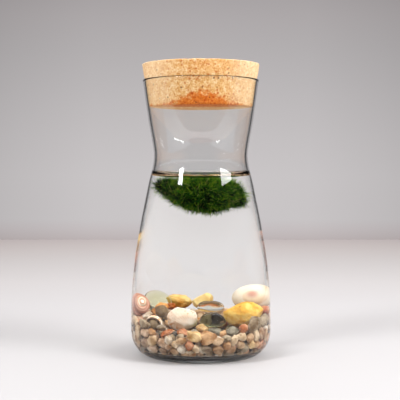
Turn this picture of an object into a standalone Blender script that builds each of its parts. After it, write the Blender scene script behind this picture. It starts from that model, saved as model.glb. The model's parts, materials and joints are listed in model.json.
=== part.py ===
"""A marimo moss ball floating in a corked glass jar, over gravel, shells, stones and glass nuggets.

Metres, +Z up. The origin is the middle of the jar's flat underside. -Y is the side seen first.
"""

import math
import random

import bmesh
import bpy
from mathutils import Euler, Matrix, Vector, noise
from mathutils.bvhtree import BVHTree

MM = 0.001

# Jar: heights above the underside, and radii
JAR_HEIGHT = 170.4 * MM
BELLY_RADIUS = 43.5 * MM
BELLY_HEIGHT = 16.0 * MM
FOOT_RADIUS = 31.5 * MM
RIM_RADIUS = 36.0 * MM
WAIST_HEIGHT = 123.5 * MM
WAIST_RADIUS = 29.2 * MM
WALL = 1.7 * MM
FLOOR = 5.5 * MM
INNER_HEEL_RISE = 11.0 * MM
INNER_HEEL_RUN = 10.0 * MM
JAR_SIDE = (
    (BELLY_HEIGHT, BELLY_RADIUS),
    (30.0 * MM, 43.4 * MM),
    (52.0 * MM, 41.8 * MM),
    (80.0 * MM, 37.7 * MM),
    (104.0 * MM, 32.9 * MM),
    (WAIST_HEIGHT, WAIST_RADIUS),
    (138.0 * MM, 31.2 * MM),
    (156.0 * MM, 34.1 * MM),
    (JAR_HEIGHT, RIM_RADIUS),
)

# Where the glass gets a ring of points: closer together round the waist, where it bends most
JAR_RINGS = [z * MM for z in (31, 45, 58, 70, 82, 93, 103, 111, 117, 121.5, 125.5, 130, 138, 150, 160)]

# Cork stopper: it sits in the flared neck and swells out above the rim
CORK_BOTTOM = 153.6 * MM
CORK_TOP = 180.0 * MM
CORK_TOP_RADIUS = 36.2 * MM
CORK_EDGE = 0.7 * MM

# What the jar holds
WATER_LEVEL = 109.7 * MM
CLEARANCE = 0.3 * MM
PILE_CLEARANCE = 0.45 * MM
PEBBLE = 6.5 * MM
LUMP_RISE = 3.4 * MM
LUMP_DEPTH = 1.5 * MM
MOSS_CENTRE = Vector((0.5, 0.0, 98.4)) * MM
MOSS_SIZE = Vector((20.5, 19.5, 12.4)) * MM
MOSS_LOBES = (
    (Vector((-0.97, -0.1, 0.3)), 4.6 * MM, 0.30),
    (Vector((0.95, -0.1, -0.34)), 2.6 * MM, 0.22),
    (Vector((0.15, -0.2, -0.97)), 0.8 * MM, 0.35),
    (Vector((-0.75, -0.2, -0.55)), -2.8 * MM, 0.30),
    (Vector((0.6, 0.75, 0.1)), 1.6 * MM, 0.30),
)

ROUND = 36
FINE = 48
COARSE = 32


def material(name, colour, roughness=0.6, transmission=0.0, ior=1.45):
    made = bpy.data.materials.new(name)
    made.use_nodes = True
    shader = made.node_tree.nodes["Principled BSDF"]
    shader.inputs["Base Color"].default_value = (*colour, 1.0)
    shader.inputs["Roughness"].default_value = roughness
    shader.inputs["Transmission Weight"].default_value = transmission
    shader.inputs["IOR"].default_value = ior
    made.diffuse_color = (*colour, 1.0)
    return made


def add_object(name, mesh_data, made_of):
    mesh_data.shade_smooth()
    mesh_data.set_sharp_from_angle(angle=math.radians(40))
    mesh_data.materials.append(made_of)
    added = bpy.data.objects.new(name, mesh_data)
    bpy.context.scene.collection.objects.link(added)
    return added


def side_radius(height):
    """The jar's outer radius above its heel: a smooth curve through JAR_SIDE that never overshoots."""
    heights = [point[0] for point in JAR_SIDE]
    radii = [point[1] for point in JAR_SIDE]
    steps = [b - a for a, b in zip(heights, heights[1:])]
    rises = [(b - a) / step for a, b, step in zip(radii, radii[1:], steps)]
    slopes = [0.0]
    for i in range(1, len(steps)):
        if rises[i - 1] * rises[i] <= 0.0:
            slopes.append(0.0)
            continue
        before = 2 * steps[i] + steps[i - 1]
        after = steps[i] + 2 * steps[i - 1]
        slopes.append((before + after) / (before / rises[i - 1] + after / rises[i]))
    slopes.append(rises[-1])
    i = max(k for k in range(len(steps)) if heights[k] <= height or k == 0)
    t = (height - heights[i]) / steps[i]
    return (
        (2 * t**3 - 3 * t**2 + 1) * radii[i]
        + (t**3 - 2 * t**2 + t) * steps[i] * slopes[i]
        + (3 * t**2 - 2 * t**3) * radii[i + 1]
        + (t**3 - t**2) * steps[i] * slopes[i + 1]
    )


def outer_radius(height):
    """Below the belly the heel is a quarter ellipse that runs into the flat foot."""
    if height >= BELLY_HEIGHT:
        return side_radius(height)
    drop = (BELLY_HEIGHT - height) / BELLY_HEIGHT
    return FOOT_RADIUS + (BELLY_RADIUS - FOOT_RADIUS) * math.sqrt(max(0.0, 1.0 - drop * drop))


def inner_radius(height):
    """The jar's inner wall, rounded into its floor."""
    corner = FLOOR + INNER_HEEL_RISE
    if height >= corner:
        return outer_radius(height) - WALL
    drop = (corner - height) / INNER_HEEL_RISE
    middle = outer_radius(corner) - WALL - INNER_HEEL_RUN
    return middle + INNER_HEEL_RUN * math.sqrt(max(0.0, 1.0 - drop * drop))


def spaced(low, high, count):
    return [low + (high - low) * i / (count - 1) for i in range(count)]


def heel_heights(low, high, count):
    """Heights that follow a rounded heel: close together where it is nearly flat."""
    return [high - (high - low) * math.cos(0.5 * math.pi * i / (count - 1)) for i in range(count)]


def ring(radius, height, sides):
    """One ring of points. Radius and height are numbers, or functions of the angle."""
    points = []
    for i in range(sides):
        angle = 2 * math.pi * i / sides
        r = radius(angle) if callable(radius) else radius
        z = height(angle) if callable(height) else height
        points.append(Vector((r * math.cos(angle), r * math.sin(angle), z)))
    return points


def wrapped(name, first_pole, rings, last_pole):
    """A closed mesh from rings that run from one pole to the other, its faces turned outward."""
    shape = bmesh.new()
    start = shape.verts.new(first_pole)
    end = shape.verts.new(last_pole)
    loops = [[shape.verts.new(point) for point in points] for points in rings]
    sides = len(loops[0])
    for k in range(sides):
        after = (k + 1) % sides
        shape.faces.new((start, loops[0][after], loops[0][k]))
        shape.faces.new((end, loops[-1][k], loops[-1][after]))
        for low, high in zip(loops, loops[1:]):
            shape.faces.new((low[k], low[after], high[after], high[k]))
    bmesh.ops.recalc_face_normals(shape, faces=shape.faces)
    if shape.calc_volume(signed=True) < 0:
        bmesh.ops.reverse_faces(shape, faces=shape.faces)
    made = bpy.data.meshes.new(name)
    shape.to_mesh(made)
    shape.free()
    return made


def make_jar():
    """Clear glass: up the outside from the foot, over the rounded lip, and down the inside."""
    lip = 0.5 * WALL
    lip_middle = RIM_RADIUS - lip
    profile = [(outer_radius(z), z) for z in heel_heights(0.0, BELLY_HEIGHT, 6)]
    profile += [(outer_radius(z), z) for z in JAR_RINGS + [JAR_HEIGHT - lip]]
    for step in (1, 2, 3):
        angle = math.pi * step / 4
        profile.append((lip_middle + lip * math.cos(angle), JAR_HEIGHT - lip + lip * math.sin(angle)))
    inner_corner = FLOOR + INNER_HEEL_RISE
    profile += [(inner_radius(z), z) for z in [JAR_HEIGHT - lip] + JAR_RINGS[::-1] + [inner_corner]]
    profile += [(inner_radius(z), z) for z in reversed(heel_heights(FLOOR, inner_corner, 7)[:-1])]
    rings = [ring(r, z, ROUND) for r, z in profile]
    shape = wrapped("jar", Vector((0, 0, 0)), rings, Vector((0, 0, FLOOR)))
    return add_object("jar", shape, material("clear_glass", (0.93, 0.96, 0.95), 0.02, 1.0, 1.52))


def cork_radius(height):
    """In the neck the cork fills the glass; above the lip it springs out to its full width."""
    lip_bottom = JAR_HEIGHT - 0.5 * WALL
    squeezed = inner_radius(min(height, lip_bottom)) - CLEARANCE
    if height <= lip_bottom:
        return squeezed
    above = (height - lip_bottom) / (CORK_TOP - lip_bottom)
    return squeezed + (CORK_TOP_RADIUS - squeezed) * above**0.62


def make_cork():
    heights = spaced(CORK_BOTTOM + CORK_EDGE, JAR_HEIGHT - 0.5 * WALL, 3)
    heights += [JAR_HEIGHT + 1.0 * MM, JAR_HEIGHT + 4.0 * MM, CORK_TOP - CORK_EDGE]
    profile = [(cork_radius(CORK_BOTTOM) - CORK_EDGE, CORK_BOTTOM)]
    profile += [(cork_radius(z), z) for z in heights]
    profile.append((CORK_TOP_RADIUS - CORK_EDGE, CORK_TOP))
    rings = [ring(r, z, ROUND) for r, z in profile]
    shape = wrapped("cork_stopper", Vector((0, 0, CORK_BOTTOM)), rings, Vector((0, 0, CORK_TOP)))
    return add_object("cork_stopper", shape, material("cork", (0.78, 0.52, 0.27), 0.85))


def moss_point(angle, latitude, grow=0.0):
    """A point of the ball's uneven outside, grown outward by a margin."""
    way = Vector(
        (
            math.cos(latitude) * math.cos(angle),
            math.cos(latitude) * math.sin(angle),
            math.sin(latitude),
        )
    )
    reach = 1.1 * MM * noise.noise(way * 2.6 + Vector((3.1, 0.4, 7.7)))
    for toward, gain, spread in MOSS_LOBES:
        off = (way - toward.normalized()).length
        reach += gain * math.exp(-((off / spread) ** 2) / 2)
    point = Vector((way.x * MOSS_SIZE.x, way.y * MOSS_SIZE.y, way.z * MOSS_SIZE.z))
    return MOSS_CENTRE + point + way * (reach + grow)


def moss_rings(grow, latitudes):
    angles = [2 * math.pi * i / COARSE for i in range(COARSE)]
    return [[moss_point(angle, latitude, grow) for angle in angles] for latitude in latitudes]


def make_moss_ball():
    latitudes = [math.radians(a) for a in (-68, -46, -25, -6, 14, 36, 62)]
    poles = [moss_point(0.0, math.radians(a)) for a in (-90, 90)]
    shape = wrapped("marimo_ball", poles[0], moss_rings(0.0, latitudes), poles[1])
    return add_object("marimo_ball", shape, material("moss", (0.05, 0.13, 0.03), 0.95))


def place(shape, centre, turn):
    """Turns a mesh by degrees about X, Y and Z, and moves its middle to a place in millimetres."""
    spin = Euler([math.radians(a) for a in turn]).to_matrix().to_4x4()
    shape.transform(Matrix.Translation(Vector(centre) * MM) @ spin)
    return shape


def stone_mesh(name, size, flats=(), rough=0.06, seed=1, detail=1):
    """A stone: a ball worn flat in places, uneven, and scaled to its half sizes in millimetres."""
    draw = random.Random(seed)
    worn = [(Vector(way).normalized(), depth) for way, depth in flats]
    for _ in range(5):
        way = Vector((draw.gauss(0, 1), draw.gauss(0, 1), draw.gauss(0, 1))).normalized()
        worn.append((way, draw.uniform(0.8, 0.95)))
    shape = bmesh.new()
    bmesh.ops.create_icosphere(shape, subdivisions=detail + 1, radius=1.0)
    offset = Vector((seed * 3.7, seed * 1.3, 0.0))
    for vert in shape.verts:
        vert.co *= 1.0 + rough * noise.noise(vert.co * 1.8 + offset)
        for way, depth in worn:
            over = vert.co.dot(way) - depth
            if over > 0.0:
                vert.co -= way * over * 0.9
        vert.co = Vector([c * s * MM for c, s in zip(vert.co, size)])
    made = bpy.data.meshes.new(name)
    shape.to_mesh(made)
    shape.free()
    return made


def make_stone(name, centre, size, colour, turn=(0, 0, 0), **look):
    shape = place(stone_mesh(name, size, **look), centre, turn)
    return add_object(name, shape, material(name, colour, 0.5))


def make_nugget(name, centre, radius, thickness, turn, colour):
    """A glass nugget: a drop of melted glass, domed above, with a rounded edge and a flatter foot."""
    sides = 16
    crown = thickness * 0.62
    foot = thickness - crown
    rings = []
    for latitude in (-58, -28, -2, 24, 52):
        a = math.radians(latitude)
        rise = (crown if a > 0 else foot) * math.sin(a)
        rings.append(ring(radius * math.cos(a) ** 0.8 * MM, rise * MM, sides))
    shape = wrapped(name, Vector((0, 0, -foot * MM)), rings, Vector((0, 0, crown * MM)))
    place(shape, centre, turn)
    return add_object(name, shape, material(name, colour, 0.02, 1.0, 1.52))


def make_spiral_shell(name, centre, size, turn, turns, groove, colour, bands=10):
    """A snail shell seen as a ball: one spiral seam winds from the apex, at +Z, to the lip."""
    sides = 2 * bands
    rings = []
    for band in range(1, bands):
        polar = math.pi * band / bands
        points = []
        for i in range(sides):
            angle = 2 * math.pi * i / sides
            whorl = turns * (polar / math.pi) ** 0.8 - angle / (2 * math.pi)
            crest = abs(math.sin(math.pi * whorl)) ** 0.6
            reach = 1.0 - groove * (1.0 - crest) * math.sin(polar) ** 0.5
            points.append(
                Vector(
                    (
                        size[0] * MM * reach * math.sin(polar) * math.cos(angle),
                        size[1] * MM * reach * math.sin(polar) * math.sin(angle),
                        size[2] * MM * reach * math.cos(polar),
                    )
                )
            )
        rings.append(points)
    poles = Vector((0, 0, size[2] * MM)), Vector((0, 0, -size[2] * MM))
    shape = place(wrapped(name, poles[0], rings, poles[1]), centre, turn)
    return add_object(name, shape, material(name, colour, 0.4))


def make_half_shell(name, centre, radius, wall, turn, colour):
    """One small valve: a thin round cap, hollow side at -Z."""
    sides = 16
    hollow = radius - wall
    slopes = [math.radians(a) for a in (28, 55, 80, 96)]
    profile = [(radius * math.sin(a), radius * math.cos(a)) for a in slopes]
    profile += [(hollow * math.sin(a), hollow * math.cos(a)) for a in reversed(slopes)]
    rings = [ring(r * MM, z * MM, sides) for r, z in profile]
    shape = wrapped(name, Vector((0, 0, radius * MM)), rings, Vector((0, 0, (radius - wall) * MM)))
    place(shape, centre, turn)
    return add_object(name, shape, material(name, colour, 0.4))


def make_pile():
    """Shells, stones and nuggets on the gravel. Places and half sizes are in millimetres."""
    return [
        make_spiral_shell(
            "turban_shell",
            (-32.0, -4.0, 31.4),
            (7.3, 7.0, 6.6),
            (62, 0, 14),
            turns=3.4,
            groove=0.26,
            colour=(0.72, 0.48, 0.36),
            bands=12,
        ),
        make_spiral_shell(
            "moon_shell",
            (23.2, 9.5, 34.4),
            (9.6, 8.0, 7.0),
            (66, 0, 6),
            turns=2.2,
            groove=0.05,
            colour=(0.93, 0.86, 0.72),
        ),
        make_half_shell("cup_shell", (-25.6, -21.2, 22.6), 5.3, 0.8, (-62, 0, -26), (0.92, 0.88, 0.80)),
        make_stone("cup_pebble", (-26.1, -22.4, 21.6), (3.8, 3.3, 3.8), (0.42, 0.30, 0.18), rough=0.05, seed=4),
        make_stone(
            "white_shell", (-9.3, -13.4, 24.8), (7.9, 4.9, 7.5), (0.90, 0.84, 0.76), rough=0.10, seed=8, detail=2
        ),
        make_stone("brown_pebble", (-18.9, -3.6, 28.2), (3.5, 3.3, 3.7), (0.45, 0.27, 0.11), seed=5),
        make_nugget("green_nugget", (-19.4, 7.2, 32.2), 6.9, 6.0, (58, 40, 0), (0.62, 0.70, 0.52)),
        make_nugget("clear_nugget", (4.6, -0.6, 30.0), 6.5, 6.6, (-8, 2, 0), (0.88, 0.90, 0.85)),
        make_nugget("dark_nugget", (6.1, -18.4, 23.8), 6.9, 8.6, (-6, 4, 0), (0.20, 0.25, 0.20)),
        make_stone(
            "yellow_stone",
            (22.5, -11.8, 27.4),
            (11.4, 7.0, 7.9),
            (0.92, 0.66, 0.22),
            flats=(((-0.6, -0.1, 0.9), 0.74), ((0.75, -0.2, 0.75), 0.80), ((-0.8, -0.8, -0.2), 0.80)),
            rough=0.12,
            seed=11,
            detail=2,
        ),
        make_stone(
            "amber_stone",
            (-9.6, 16.2, 31.6),
            (6.4, 4.6, 4.4),
            (0.86, 0.62, 0.28),
            turn=(0, 6, 0),
            rough=0.10,
            seed=21,
        ),
        make_stone(
            "pale_stone", (0.6, 13.4, 32.6), (4.6, 3.6, 4.9), (0.94, 0.84, 0.60), turn=(0, 24, 0), seed=27
        ),
        make_stone("rust_pebble", (32.2, -0.6, 27.4), (4.0, 3.6, 3.6), (0.55, 0.25, 0.12), seed=31),
    ]


def tree_of(objects):
    """All the triangles of some objects, for asking what lies above or below a point."""
    points, faces = [], []
    for each in objects:
        start = len(points)
        points += [vert.co.copy() for vert in each.data.vertices]
        faces += [[start + i for i in face.vertices] for face in each.data.polygons]
    return BVHTree.FromPolygons(points, faces)


def probe(tree, x, y, reach, way):
    """The heights met by rays sent up or down through a small disc of points round (x, y)."""
    start = -1.0 * MM if way > 0 else CORK_BOTTOM
    found = []
    for out in (0.0, 0.5, 1.0):
        for i in range(8 if out else 1):
            angle = 2 * math.pi * i / 8
            origin = Vector((x + out * reach * math.cos(angle), y + out * reach * math.sin(angle), start))
            place_hit = tree.ray_cast(origin, Vector((0, 0, way)))[0]
            if place_hit:
                found.append(place_hit.z)
    return found


def lump(point):
    """0 in the gap between two pebbles, towards 1 on the crown of one."""
    nearest = noise.voronoi(point / PEBBLE)[0][0]
    return max(0.0, 1.0 - nearest / 0.75)


def smooth(low, high, value):
    t = min(1.0, max(0.0, (value - low) / (high - low)))
    return t * t * (3 - 2 * t)


def gravel_height(x, y):
    """The gravel lies low in front, banks up behind, and rises along both side walls."""
    back = 7.0 * MM * smooth(-22.0 * MM, 0.0, y)
    sides = 5.0 * MM * smooth(22.0 * MM, 36.0 * MM, abs(x)) * smooth(2.0 * MM, -10.0 * MM, y)
    return 17.5 * MM + back + sides


def gravel_top(tree, x, y):
    """The gravel's height with its pebbles, lowered where something lies in it."""
    bare = gravel_height(x, y)
    height = bare + LUMP_RISE * (lump(Vector((x, y, bare))) - 0.4)
    above = probe(tree, x, y, 3.4 * MM, 1.0)
    return min([height] + [z - PILE_CLEARANCE for z in above])


def make_gravel(pile):
    """One solid for the whole bed: up its pebbly side from the jar's floor, and in across its top."""
    tree = tree_of(pile)
    bottom = FLOOR + 2 * CLEARANCE
    side_clearance = 2 * CLEARANCE

    def reach(height):
        return inner_radius(height - 2 * CLEARANCE) - side_clearance

    def side_at(share):
        def radius(angle):
            height = height_at(share)(angle)
            edge = reach(height)
            there = Vector((edge * math.cos(angle), edge * math.sin(angle), height))
            return edge - LUMP_DEPTH * (1.0 - lump(there))

        return radius

    def height_at(share):
        def height(angle):
            edge = reach(20 * MM)
            top = gravel_top(tree, edge * math.cos(angle), edge * math.sin(angle))
            return bottom + (top - bottom) * share

        return height

    def top_at(radius):
        return lambda angle: gravel_top(tree, radius * math.cos(angle), radius * math.sin(angle))

    rings = [ring(share * reach(bottom), bottom, FINE) for share in (0.6, 1.0)]
    rings += [ring(side_at(share), height_at(share), FINE) for share in (0.16, 0.42, 0.7, 0.94)]
    rings += [ring(r * MM, top_at(r * MM), FINE) for r in (37.5, 33.5, 29.0, 24.5, 20.0, 15.5, 11.0, 6.0)]
    top = Vector((0, 0, gravel_top(tree, 0.0, 0.0)))
    shape = wrapped("gravel_bed", Vector((0, 0, bottom)), rings, top)
    return add_object("gravel_bed", shape, material("gravel", (0.72, 0.60, 0.45), 0.8))


def make_water(contents):
    """Round the moss ball from below, out along the surface, down the glass, and in over the pile."""
    tree = tree_of(contents)
    latitudes = [math.radians(a) for a in (-68, -46, -25, -6, 14, 36)]
    pocket = moss_rings(CLEARANCE + PILE_CLEARANCE, latitudes)
    shore = []
    for inner in pocket[-1]:
        flat = (inner - MOSS_CENTRE) * 0.86 + MOSS_CENTRE
        shore.append(Vector((flat.x, flat.y, WATER_LEVEL)))
    wall_gap = CLEARANCE + 0.15 * MM

    def over(radius):
        def height(angle):
            met = probe(tree, radius * math.cos(angle), radius * math.sin(angle), 6.5 * MM, -1.0)
            return max(met) + 2 * PILE_CLEARANCE

        return height

    edge = inner_radius(30 * MM) - wall_gap
    floor_of = over(edge - 1.0 * MM)
    lowest = [floor_of(2 * math.pi * i / COARSE) for i in range(COARSE)]

    def wall_ring(share):
        points = []
        for i, low in enumerate(lowest):
            angle = 2 * math.pi * i / COARSE
            z = WATER_LEVEL + (low - WATER_LEVEL) * share
            r = inner_radius(z) - wall_gap
            points.append(Vector((r * math.cos(angle), r * math.sin(angle), z)))
        return points

    rings = pocket + [shore] + [wall_ring(share) for share in spaced(0.0, 1.0, 8)]
    rings += [ring(r * MM, over(r * MM), COARSE) for r in (35.0, 29.0, 23.0, 17.0, 11.0, 5.5)]
    deepest = moss_point(0.0, math.radians(-90), CLEARANCE + PILE_CLEARANCE)
    bottom = Vector((0, 0, over(0.0)(0.0)))
    shape = wrapped("water", deepest, rings, bottom)
    return add_object("water", shape, material("water", (0.95, 0.98, 0.98), 0.0, 1.0, 1.333))


for left_over in list(bpy.data.objects):
    bpy.data.objects.remove(left_over)

make_jar()
make_cork()
moss_ball = make_moss_ball()
pile_pieces = make_pile()
gravel_bed = make_gravel(pile_pieces)
make_water(pile_pieces + [gravel_bed])
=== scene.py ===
# %% [markdown]
# A marimo, a ball of green water moss, floats in a corked glass jar. Under it lie gravel, shells, stones
# and glass nuggets. The solids are loaded first, as a fixed frame: each finer piece below takes its place
# and its size from them, and then stands for them.

# %% Load the solids
import json
import math
import random

import bmesh
import bpy
from mathutils import Euler, Matrix, Vector, noise

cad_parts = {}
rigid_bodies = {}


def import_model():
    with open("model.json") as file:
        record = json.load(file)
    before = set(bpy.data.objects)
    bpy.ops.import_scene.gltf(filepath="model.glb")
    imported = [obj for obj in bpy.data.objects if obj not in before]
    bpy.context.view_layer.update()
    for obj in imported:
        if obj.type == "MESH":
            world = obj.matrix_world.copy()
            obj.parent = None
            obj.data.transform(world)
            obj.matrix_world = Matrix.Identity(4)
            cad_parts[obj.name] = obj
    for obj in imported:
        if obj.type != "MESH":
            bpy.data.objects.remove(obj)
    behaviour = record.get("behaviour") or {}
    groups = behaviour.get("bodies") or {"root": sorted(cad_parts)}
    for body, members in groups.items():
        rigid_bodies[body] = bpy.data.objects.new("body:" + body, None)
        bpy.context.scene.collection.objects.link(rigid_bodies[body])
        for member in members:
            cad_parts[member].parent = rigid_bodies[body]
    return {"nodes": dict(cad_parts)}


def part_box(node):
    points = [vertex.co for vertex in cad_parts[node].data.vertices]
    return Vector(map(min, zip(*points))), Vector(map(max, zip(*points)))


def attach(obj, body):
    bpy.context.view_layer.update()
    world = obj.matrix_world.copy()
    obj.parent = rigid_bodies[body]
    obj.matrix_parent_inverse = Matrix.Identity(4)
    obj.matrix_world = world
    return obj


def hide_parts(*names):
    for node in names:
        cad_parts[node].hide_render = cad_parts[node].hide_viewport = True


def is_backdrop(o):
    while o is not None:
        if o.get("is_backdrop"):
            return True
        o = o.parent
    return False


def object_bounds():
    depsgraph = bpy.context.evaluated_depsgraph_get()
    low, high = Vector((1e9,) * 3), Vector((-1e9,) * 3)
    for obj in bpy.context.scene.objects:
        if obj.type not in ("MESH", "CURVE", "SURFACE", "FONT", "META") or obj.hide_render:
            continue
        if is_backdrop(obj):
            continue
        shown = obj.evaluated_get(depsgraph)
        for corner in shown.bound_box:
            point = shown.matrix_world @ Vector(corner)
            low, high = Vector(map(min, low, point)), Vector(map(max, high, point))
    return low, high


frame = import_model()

solid_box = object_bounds()
print("solids:", len(frame["nodes"]), "nodes")

# %% [markdown]
# Everything here is small, so sizes are written in millimetres and turned into metres by one factor.
# Round glass and shells are turned or wound by a formula. One helper makes a closed mesh of rings that
# run from pole to pole, because rings give an even mesh on which light bends cleanly.

# %% Helpers for meshes
MM = 0.001


def add_object(name, mesh, *materials):
    mesh.shade_smooth()
    for each in materials:
        mesh.materials.append(each)
    made = bpy.data.objects.new(name, mesh)
    bpy.context.scene.collection.objects.link(made)
    return made


def ring(radius, height, sides):
    """One level ring of points."""
    angles = [2 * math.pi * i / sides for i in range(sides)]
    return [Vector((radius * math.cos(a), radius * math.sin(a), height)) for a in angles]


def wrapped(name, first_pole, rings, last_pole):
    """A closed mesh from rings that run from one pole to the other, its faces turned outward."""
    points = [first_pole] + [point for each in rings for point in each] + [last_pole]
    sides = len(rings[0])
    last = len(points) - 1
    faces = []
    for k in range(sides):
        after = (k + 1) % sides
        faces.append((0, 1 + after, 1 + k))
        for i in range(len(rings) - 1):
            low = 1 + i * sides
            high = low + sides
            faces.append((low + k, low + after, high + after, high + k))
        top = 1 + (len(rings) - 1) * sides
        faces.append((last, top + k, top + after))
    made = bpy.data.meshes.new(name)
    made.from_pydata(points, [], faces)
    shape = bmesh.new()
    shape.from_mesh(made)
    if shape.calc_volume(signed=True) < 0:
        bmesh.ops.reverse_faces(shape, faces=shape.faces)
    shape.to_mesh(made)
    shape.free()
    return made


def hand_over(piece, slot, *nodes):
    """The piece rides on the one body and stands for its solids, which are hidden. The slot is not used."""
    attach(piece, "root")
    if nodes:
        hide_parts(*nodes)
    print(f"{piece.name}: {len(piece.data.polygons)} faces")


# %% [markdown]
# Materials are node trees. Three small helpers keep them readable: one adds a node and links what it is
# given, one mixes two colours, and one turns a value into a colour along a ramp.

# %% Helpers for node trees
def add_node(tree, kind, inputs=None, **settings):
    """A node whose inputs are linked where a socket is given, and set where a value is given."""
    made = tree.nodes.new(kind)
    for key, value in settings.items():
        setattr(made, key, value)
    for key, value in (inputs or {}).items():
        if isinstance(value, bpy.types.NodeSocket):
            tree.links.new(value, made.inputs[key])
        else:
            made.inputs[key].default_value = value
    return made


def maths(tree, operation, *values, clamp=False):
    made = add_node(tree, "ShaderNodeMath", dict(enumerate(values)), operation=operation, use_clamp=clamp)
    return made.outputs[0]


def mix(tree, share, first, second, blend="MIX"):
    """Two colours mixed."""
    MIX_FACTOR, MIX_FIRST, MIX_SECOND, MIX_RESULT = 0, 6, 7, 2
    given = {MIX_FACTOR: share, MIX_FIRST: first, MIX_SECOND: second}
    made = add_node(tree, "ShaderNodeMix", given, data_type="RGBA", blend_type=blend)
    return made.outputs[MIX_RESULT]


def ramp(tree, value, stops, interpolation="LINEAR"):
    """A colour for each value, from stops of place and colour."""
    made = add_node(tree, "ShaderNodeValToRGB", {"Fac": value})
    made.color_ramp.interpolation = interpolation
    elements = made.color_ramp.elements
    while len(elements) < len(stops):
        elements.new(1.0)
    for element, (place, colour) in zip(elements, stops):
        element.position = place
        element.color = colour
    return made.outputs["Color"]


def remap(tree, value, low, high, to_low=0.0, to_high=1.0, kind="SMOOTHSTEP"):
    """A value moved from one range to another, and held at its ends."""
    given = {"Value": value, "From Min": low, "From Max": high, "To Min": to_low, "To Max": to_high}
    return add_node(tree, "ShaderNodeMapRange", given, interpolation_type=kind).outputs["Result"]


def srgb(red, green, blue):
    """A colour as a picker shows it, 0 to 255, made linear for the shader."""
    linear = [((c / 255 + 0.055) / 1.055) ** 2.4 for c in (red, green, blue)]
    return (*linear, 1.0)


def new_material(name, **values):
    """A Principled material with plain values set on the shader's own sockets."""
    made = bpy.data.materials.new(name)
    made.use_nodes = True
    shader = made.node_tree.nodes["Principled BSDF"]
    for key, value in values.items():
        shader.inputs[key.replace("_", " ").title().replace("Ior", "IOR")].default_value = value
    return made, made.node_tree, shader


def object_point(tree):
    return add_node(tree, "ShaderNodeTexCoord").outputs["Object"]


# %% [markdown]
# Two effects are shared by every stone and shell: a fine speckle of grains, and a relief of small pits
# and swellings. Each is a node group with named inputs, built once, so that every material can give it
# its own grain size and depth. Scales are in features per metre, because the patterns read Object
# coordinates.

# %% Shared node groups
def new_group(name, inputs, outputs):
    group = bpy.data.node_groups.new(name, "ShaderNodeTree")
    for label, kind, value in inputs:
        socket = group.interface.new_socket(name=label, in_out="INPUT", socket_type=kind)
        socket.default_value = value
    for label, kind in outputs:
        group.interface.new_socket(name=label, in_out="OUTPUT", socket_type=kind)
    start = group.nodes.new("NodeGroupInput")
    end = group.nodes.new("NodeGroupOutput")
    return group, start, end


def make_speckle_group():
    """Grains: a mask of scattered flecks, and a soft cloud of light and dark."""
    group, start, end = new_group(
        "mineral speckle",
        [("Scale", "NodeSocketFloat", 900.0), ("Flecks", "NodeSocketFloat", 0.3)],
        [("Fleck", "NodeSocketFloat"), ("Cloud", "NodeSocketFloat")],
    )
    point = object_point(group)
    scale = start.outputs["Scale"]
    fine = add_node(group, "ShaderNodeTexNoise", {"Vector": point, "Scale": scale, "Detail": 3.0})
    coarse_scale = maths(group, "MULTIPLY", scale, 0.22)
    coarse = add_node(group, "ShaderNodeTexNoise", {"Vector": point, "Scale": coarse_scale, "Detail": 5.0})
    edge = maths(group, "SUBTRACT", 0.78, maths(group, "MULTIPLY", start.outputs["Flecks"], 0.5))
    fleck = remap(group, fine.outputs["Fac"], edge, maths(group, "ADD", edge, 0.07))
    cloud = remap(group, coarse.outputs["Fac"], 0.32, 0.68)
    group.links.new(fleck, end.inputs["Fleck"])
    group.links.new(cloud, end.inputs["Cloud"])
    return group


def make_relief_group():
    """A bumpy normal from noise of one grain size and depth."""
    group, start, end = new_group(
        "fine relief",
        [("Scale", "NodeSocketFloat", 700.0), ("Depth", "NodeSocketFloat", 0.0002)],
        [("Normal", "NodeSocketVector")],
    )
    given = {"Vector": object_point(group), "Scale": start.outputs["Scale"], "Detail": 4.0}
    grain = add_node(group, "ShaderNodeTexNoise", given)
    bump = add_node(group, "ShaderNodeBump", {"Height": grain.outputs["Fac"], "Distance": start.outputs["Depth"]})
    group.links.new(bump.outputs["Normal"], end.inputs["Normal"])
    return group


speckle_group = make_speckle_group()
relief_group = make_relief_group()


def speckle(tree, scale, flecks):
    made = add_node(tree, "ShaderNodeGroup", node_tree=speckle_group)
    made.inputs["Scale"].default_value = scale
    made.inputs["Flecks"].default_value = flecks
    return made.outputs["Fleck"], made.outputs["Cloud"]


def relief(tree, scale, depth):
    made = add_node(tree, "ShaderNodeGroup", node_tree=relief_group)
    made.inputs["Scale"].default_value = scale
    made.inputs["Depth"].default_value = depth
    return made.outputs["Normal"]


print("groups:", [group.name for group in bpy.data.node_groups])

# %% [markdown]
# Clear glass. A ray bends where it passes from one clear thing to another, by the ratio of their
# indices: 1.52 from air to glass, 1.333 from air to water, and only 1.52 / 1.333 from water to glass.
# So the jar wears two glasses, one where it meets air and one on its wet inner wall. Rays from lamps
# and between matt things pass straight through, which a Light Path mix does, because bending those
# too would leave the gravel dark and full of noise.

# %% Glass and water materials
GLASS_IOR = 1.52
WATER_IOR = 1.333
WET_GLASS_IOR = GLASS_IOR / WATER_IOR


def pass_light(tree, shader, tint):
    """Mixes in a plain see-through shader for the rays that carry light, and not for those that see."""
    path = add_node(tree, "ShaderNodeLightPath")
    soft = maths(tree, "MAXIMUM", path.outputs["Is Shadow Ray"], path.outputs["Is Diffuse Ray"])
    clear = add_node(tree, "ShaderNodeBsdfTransparent", {"Color": tint})
    mixed = add_node(
        tree, "ShaderNodeMixShader", {0: soft, 1: shader.outputs["BSDF"], 2: clear.outputs["BSDF"]}
    )
    tree.links.new(mixed.outputs["Shader"], tree.nodes["Material Output"].inputs["Surface"])


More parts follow.
